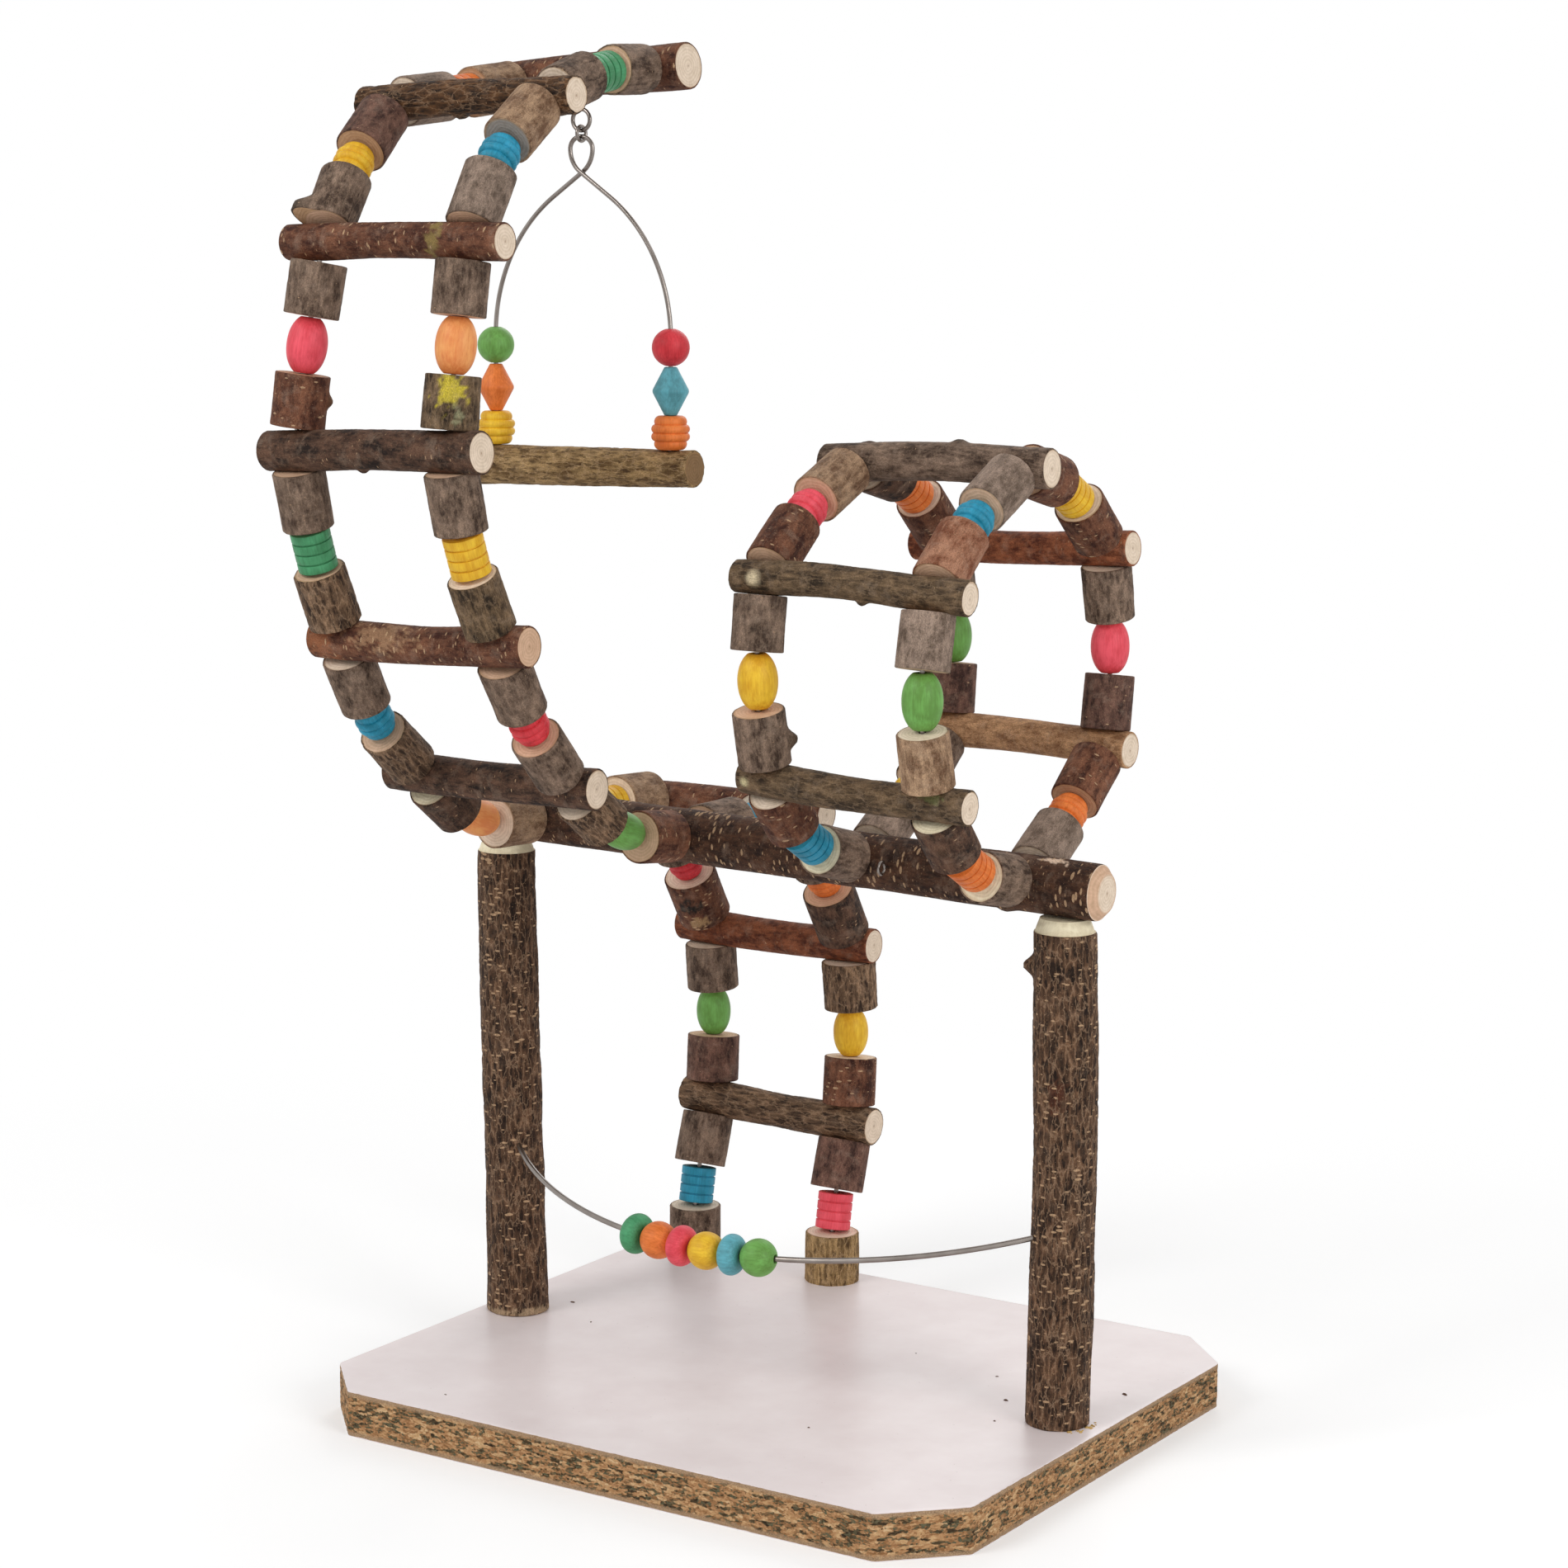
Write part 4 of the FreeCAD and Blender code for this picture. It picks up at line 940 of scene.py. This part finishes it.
def board_edge_material():
    """Sawn chipboard: coarse chips in the middle, fine pale ones near both faces."""
    n = Nodes("chipboard")
    place = n.attribute("local")
    height = n.part(place, 2)
    from_face = n.math("MINIMUM", height, n.minus(BOARD_THICKNESS, height))
    wander = n.scaled(n.noise_colour(place, 0.5), (0.9, 0.9, 0.9))
    big = n.cells(n.vector("ADD", n.scaled(place, (0.19, 0.19, 0.62)), wander), output="Color")
    small = n.cells(n.scaled(place, (0.6, 0.6, 1.2)), output="Color")
    chip = n.add("SeparateColor", {0: n.mix(0.38, big, small)}).outputs[0]
    ramp = n.add("ValToRGB", {"Fac": chip})
    stops = ((0.0, (44, 33, 22)), (0.2, (86, 70, 48)), (0.32, (104, 104, 80)),
             (0.42, (152, 108, 70)), (0.58, (190, 142, 98)), (0.8, (214, 172, 124)),
             (1.0, (234, 204, 160)))
    while len(ramp.color_ramp.elements) < len(stops):
        ramp.color_ramp.elements.new(0.5)
    for element, (position, tone) in zip(ramp.color_ramp.elements, stops):
        element.position = position
        element.color = (*linear(tone), 1.0)
    fine = n.noise(n.scaled(place, (1.6, 1.6, 2.4)), detail=5, rough=0.75)
    band = n.mix(n.ranged(fine, 0.32, 0.66), linear((142, 108, 78)), linear((206, 176, 142)))
    share = n.ranged(n.plus(from_face, n.times(n.noise(place, 0.4, 2), 3.0)), 3.2, 5.2)
    colour = n.mix(share, band, ramp.outputs[0])
    tint = n.ranged(fine, 0.3, 0.7, 0.72, 1.2)
    colour = n.mix(1.0, colour, n.joined(tint, tint, tint), "MULTIPLY")
    height = n.plus(chip, n.times(fine, 0.6))
    return n.finish(colour, n.ranged(fine, 0.3, 0.7, 0.75, 0.92), height, 0.0007, 0.8, 0.2)


def wire_material():
    """Drawn steel wire with faint streaks and dull spots."""
    n = Nodes("drawn_wire")
    place = n.add("NewGeometry").outputs["Position"]
    streak = n.noise(place, 90.0, 2)
    dull = n.noise(place, 40.0, 3)
    colour = n.mix(n.ranged(streak, 0.3, 0.7), linear((132, 124, 118)), linear((150, 142, 136)))
    n.shader.inputs["Metallic"].default_value = 1.0
    return n.finish(colour, n.ranged(dull, 0.3, 0.7, 0.26, 0.34), streak, 0.000002, 0.1, 0.5)


def crumb_material():
    """Bits of bark and torn wood fibre."""
    n = Nodes("crumb")
    place = n.scaled(n.add("NewGeometry").outputs["Position"], (1000.0, 1000.0, 1000.0))
    near_post = n.ranged(n.part(place, 0), 184.0, 188.0)
    tone = n.noise(place, 0.9, 4)
    dark = n.mix(n.ranged(tone, 0.3, 0.7), linear((58, 36, 28)), linear((120, 88, 66)))
    pale = n.mix(n.ranged(tone, 0.3, 0.7), linear((176, 136, 72)), linear((214, 182, 116)))
    colour = n.mix(near_post, dark, pale)
    return n.finish(colour, n.ranged(tone, 0.3, 0.7, 0.7, 0.9), tone, 0.0003, 0.6, 0.2)


# ---- Camera, floor and light

def camera_axes():
    """Forward, right and up of the camera."""
    a, e, r = CAMERA_AZIMUTH, CAMERA_DOWN, CAMERA_ROLL
    forward = np.array((-math.sin(a) * math.cos(e), math.cos(a) * math.cos(e), -math.sin(e)))
    level = np.array((math.cos(a), math.sin(a), 0.0))
    right = level * math.cos(r) + np.cross(level, forward) * math.sin(r)
    return forward, right, np.cross(right, forward)


def add_camera():
    forward, right, up = camera_axes()
    data = bpy.data.cameras.new("camera")
    data.sensor_width = SENSOR
    data.lens = CAMERA_FOCAL_PX / IMAGE_PX * SENSOR
    camera = new_object("camera", data)
    turn = Matrix((right, up, -forward)).transposed().to_4x4()
    camera.matrix_world = Matrix.Translation(Vector(CAMERA_AT * MM)) @ turn
    bpy.context.scene.camera = camera


def add_floor():
    """A pale floor that keeps the shadow and looks near white to the camera."""
    n = Nodes("floor")
    tone = n.noise(n.add("NewGeometry").outputs["Position"], 3.0, 2)
    colour = n.mix(n.ranged(tone, 0.3, 0.7), (0.80, 0.80, 0.80), (0.82, 0.82, 0.82))
    seen = n.add("LightPath")
    eye = n.math("MAXIMUM", seen.outputs["Is Camera Ray"], seen.outputs["Is Glossy Ray"])
    for key, value in (("Base Color", colour), ("Roughness", 0.9), ("Specular IOR Level", 0.1),
                       ("Emission Color", (1, 1, 1, 1)), ("Emission Strength", n.times(eye, 0.3))):
        n.put(n.shader.inputs[key], value)
    white = n.add("Emission", {"Color": (1, 1, 1, 1), "Strength": 1.0}).outputs[0]
    away = n.length(n.add("NewGeometry").outputs["Position"])
    far = n.times(n.ranged(away, 0.35, 0.9), eye)
    blend = n.add("MixShader", {0: far, 1: n.shader.outputs[0], 2: white})
    n.tree.links.new(blend.outputs[0], n.tree.nodes["Material Output"].inputs["Surface"])
    size = 12.0
    mesh = bpy.data.meshes.new("floor")
    mesh.from_pydata([(-size, -size, 0), (size, -size, 0), (size, size, 0), (-size, size, 0)], [],
                     [(0, 1, 2, 3)])
    mesh.materials.append(n.material)
    floor = new_object("floor", mesh)


def add_light():
    """Even studio light: a bright surround and three soft lamps."""
    world = bpy.data.worlds.new("studio")
    bpy.context.scene.world = world
    world.use_nodes = True
    tree = world.node_tree
    ground = tree.nodes["Background"]
    seen = tree.nodes.new("ShaderNodeLightPath")
    eye, both = (tree.nodes.new("ShaderNodeMath") for _ in range(2))
    eye.operation = both.operation = "MAXIMUM"
    tree.links.new(seen.outputs["Is Camera Ray"], eye.inputs[0])
    tree.links.new(seen.outputs["Is Glossy Ray"], eye.inputs[1])
    tree.links.new(eye.outputs[0], both.inputs[0])
    tree.links.new(seen.outputs["Is Transmission Ray"], both.inputs[1])
    strength = tree.nodes.new("ShaderNodeMapRange")
    strength.inputs["To Min"].default_value = 0.52
    strength.inputs["To Max"].default_value = 1.0
    tree.links.new(both.outputs[0], strength.inputs["Value"])
    tree.links.new(strength.outputs[0], ground.inputs["Strength"])
    ground.inputs["Color"].default_value = (1, 1, 1, 1)
    target = Vector((0, 0, 0.35))
    for name, place, size, watts in (("key", (-0.9, -2.2, 2.0), 1.2, 26),
                                     ("fill", (2.4, -0.8, 1.3), 1.2, 22),
                                     ("back", (-0.6, 2.2, 1.9), 1.4, 16)):
        lamp = bpy.data.lights.new(name, "AREA")
        lamp.shape = "SQUARE"
        lamp.size = size
        lamp.energy = watts
        holder = new_object(name, lamp)
        holder.location = place
        holder.rotation_euler = (target - Vector(place)).to_track_quat("-Z", "Y").to_euler()


# ---- Build

def main():
    add_camera()
    barks = [bark_material(), cut_material()]
    across, upright = np.array((1.0, 0, 0)), np.array((0, 0, 1.0))
    for node in ("ladder_rungs", "ring_rungs", "swing_perch"):
        barked_node(node, barks, across)
    barked_node("main_perch", barks, across, peel=PERCH_PEEL)
    for node in ("left_post", "right_post"):
        barked_node(node, barks, upright, peel=POST_PEEL)
    for node in ("crescent_blocks", "ramp_blocks", "ring_blocks"):
        barked_node(node, barks, bore=WOOD_BORE)
    dyed = {name: dyed_material(name, tone) for name, tone in BEAD_TONES.items()}
    slots = {row["node"]: row["material_slot"] for row in frame["record"]["subparts"]}
    for node in frame["nodes"]:
        if "_bead_" in node:
            add_bead(node, [dyed[slots[node].removeprefix("bead_")]])
    add_board([board_edge_material(), board_face_material()])
    add_crumbs(crumb_material())
    wire = wire_material()
    add_hanger(wire)
    for node in ("side_wires", "toy_wire", "screw_eyes", "swing_link", "screws"):
        slots_of = frame["nodes"][node].material_slots
        if slots_of:
            slots_of[0].material = wire
        else:
            frame["nodes"][node].data.materials.append(wire)
    add_floor()
    add_light()
    bpy.context.scene.view_settings.view_transform = "Standard"


main()
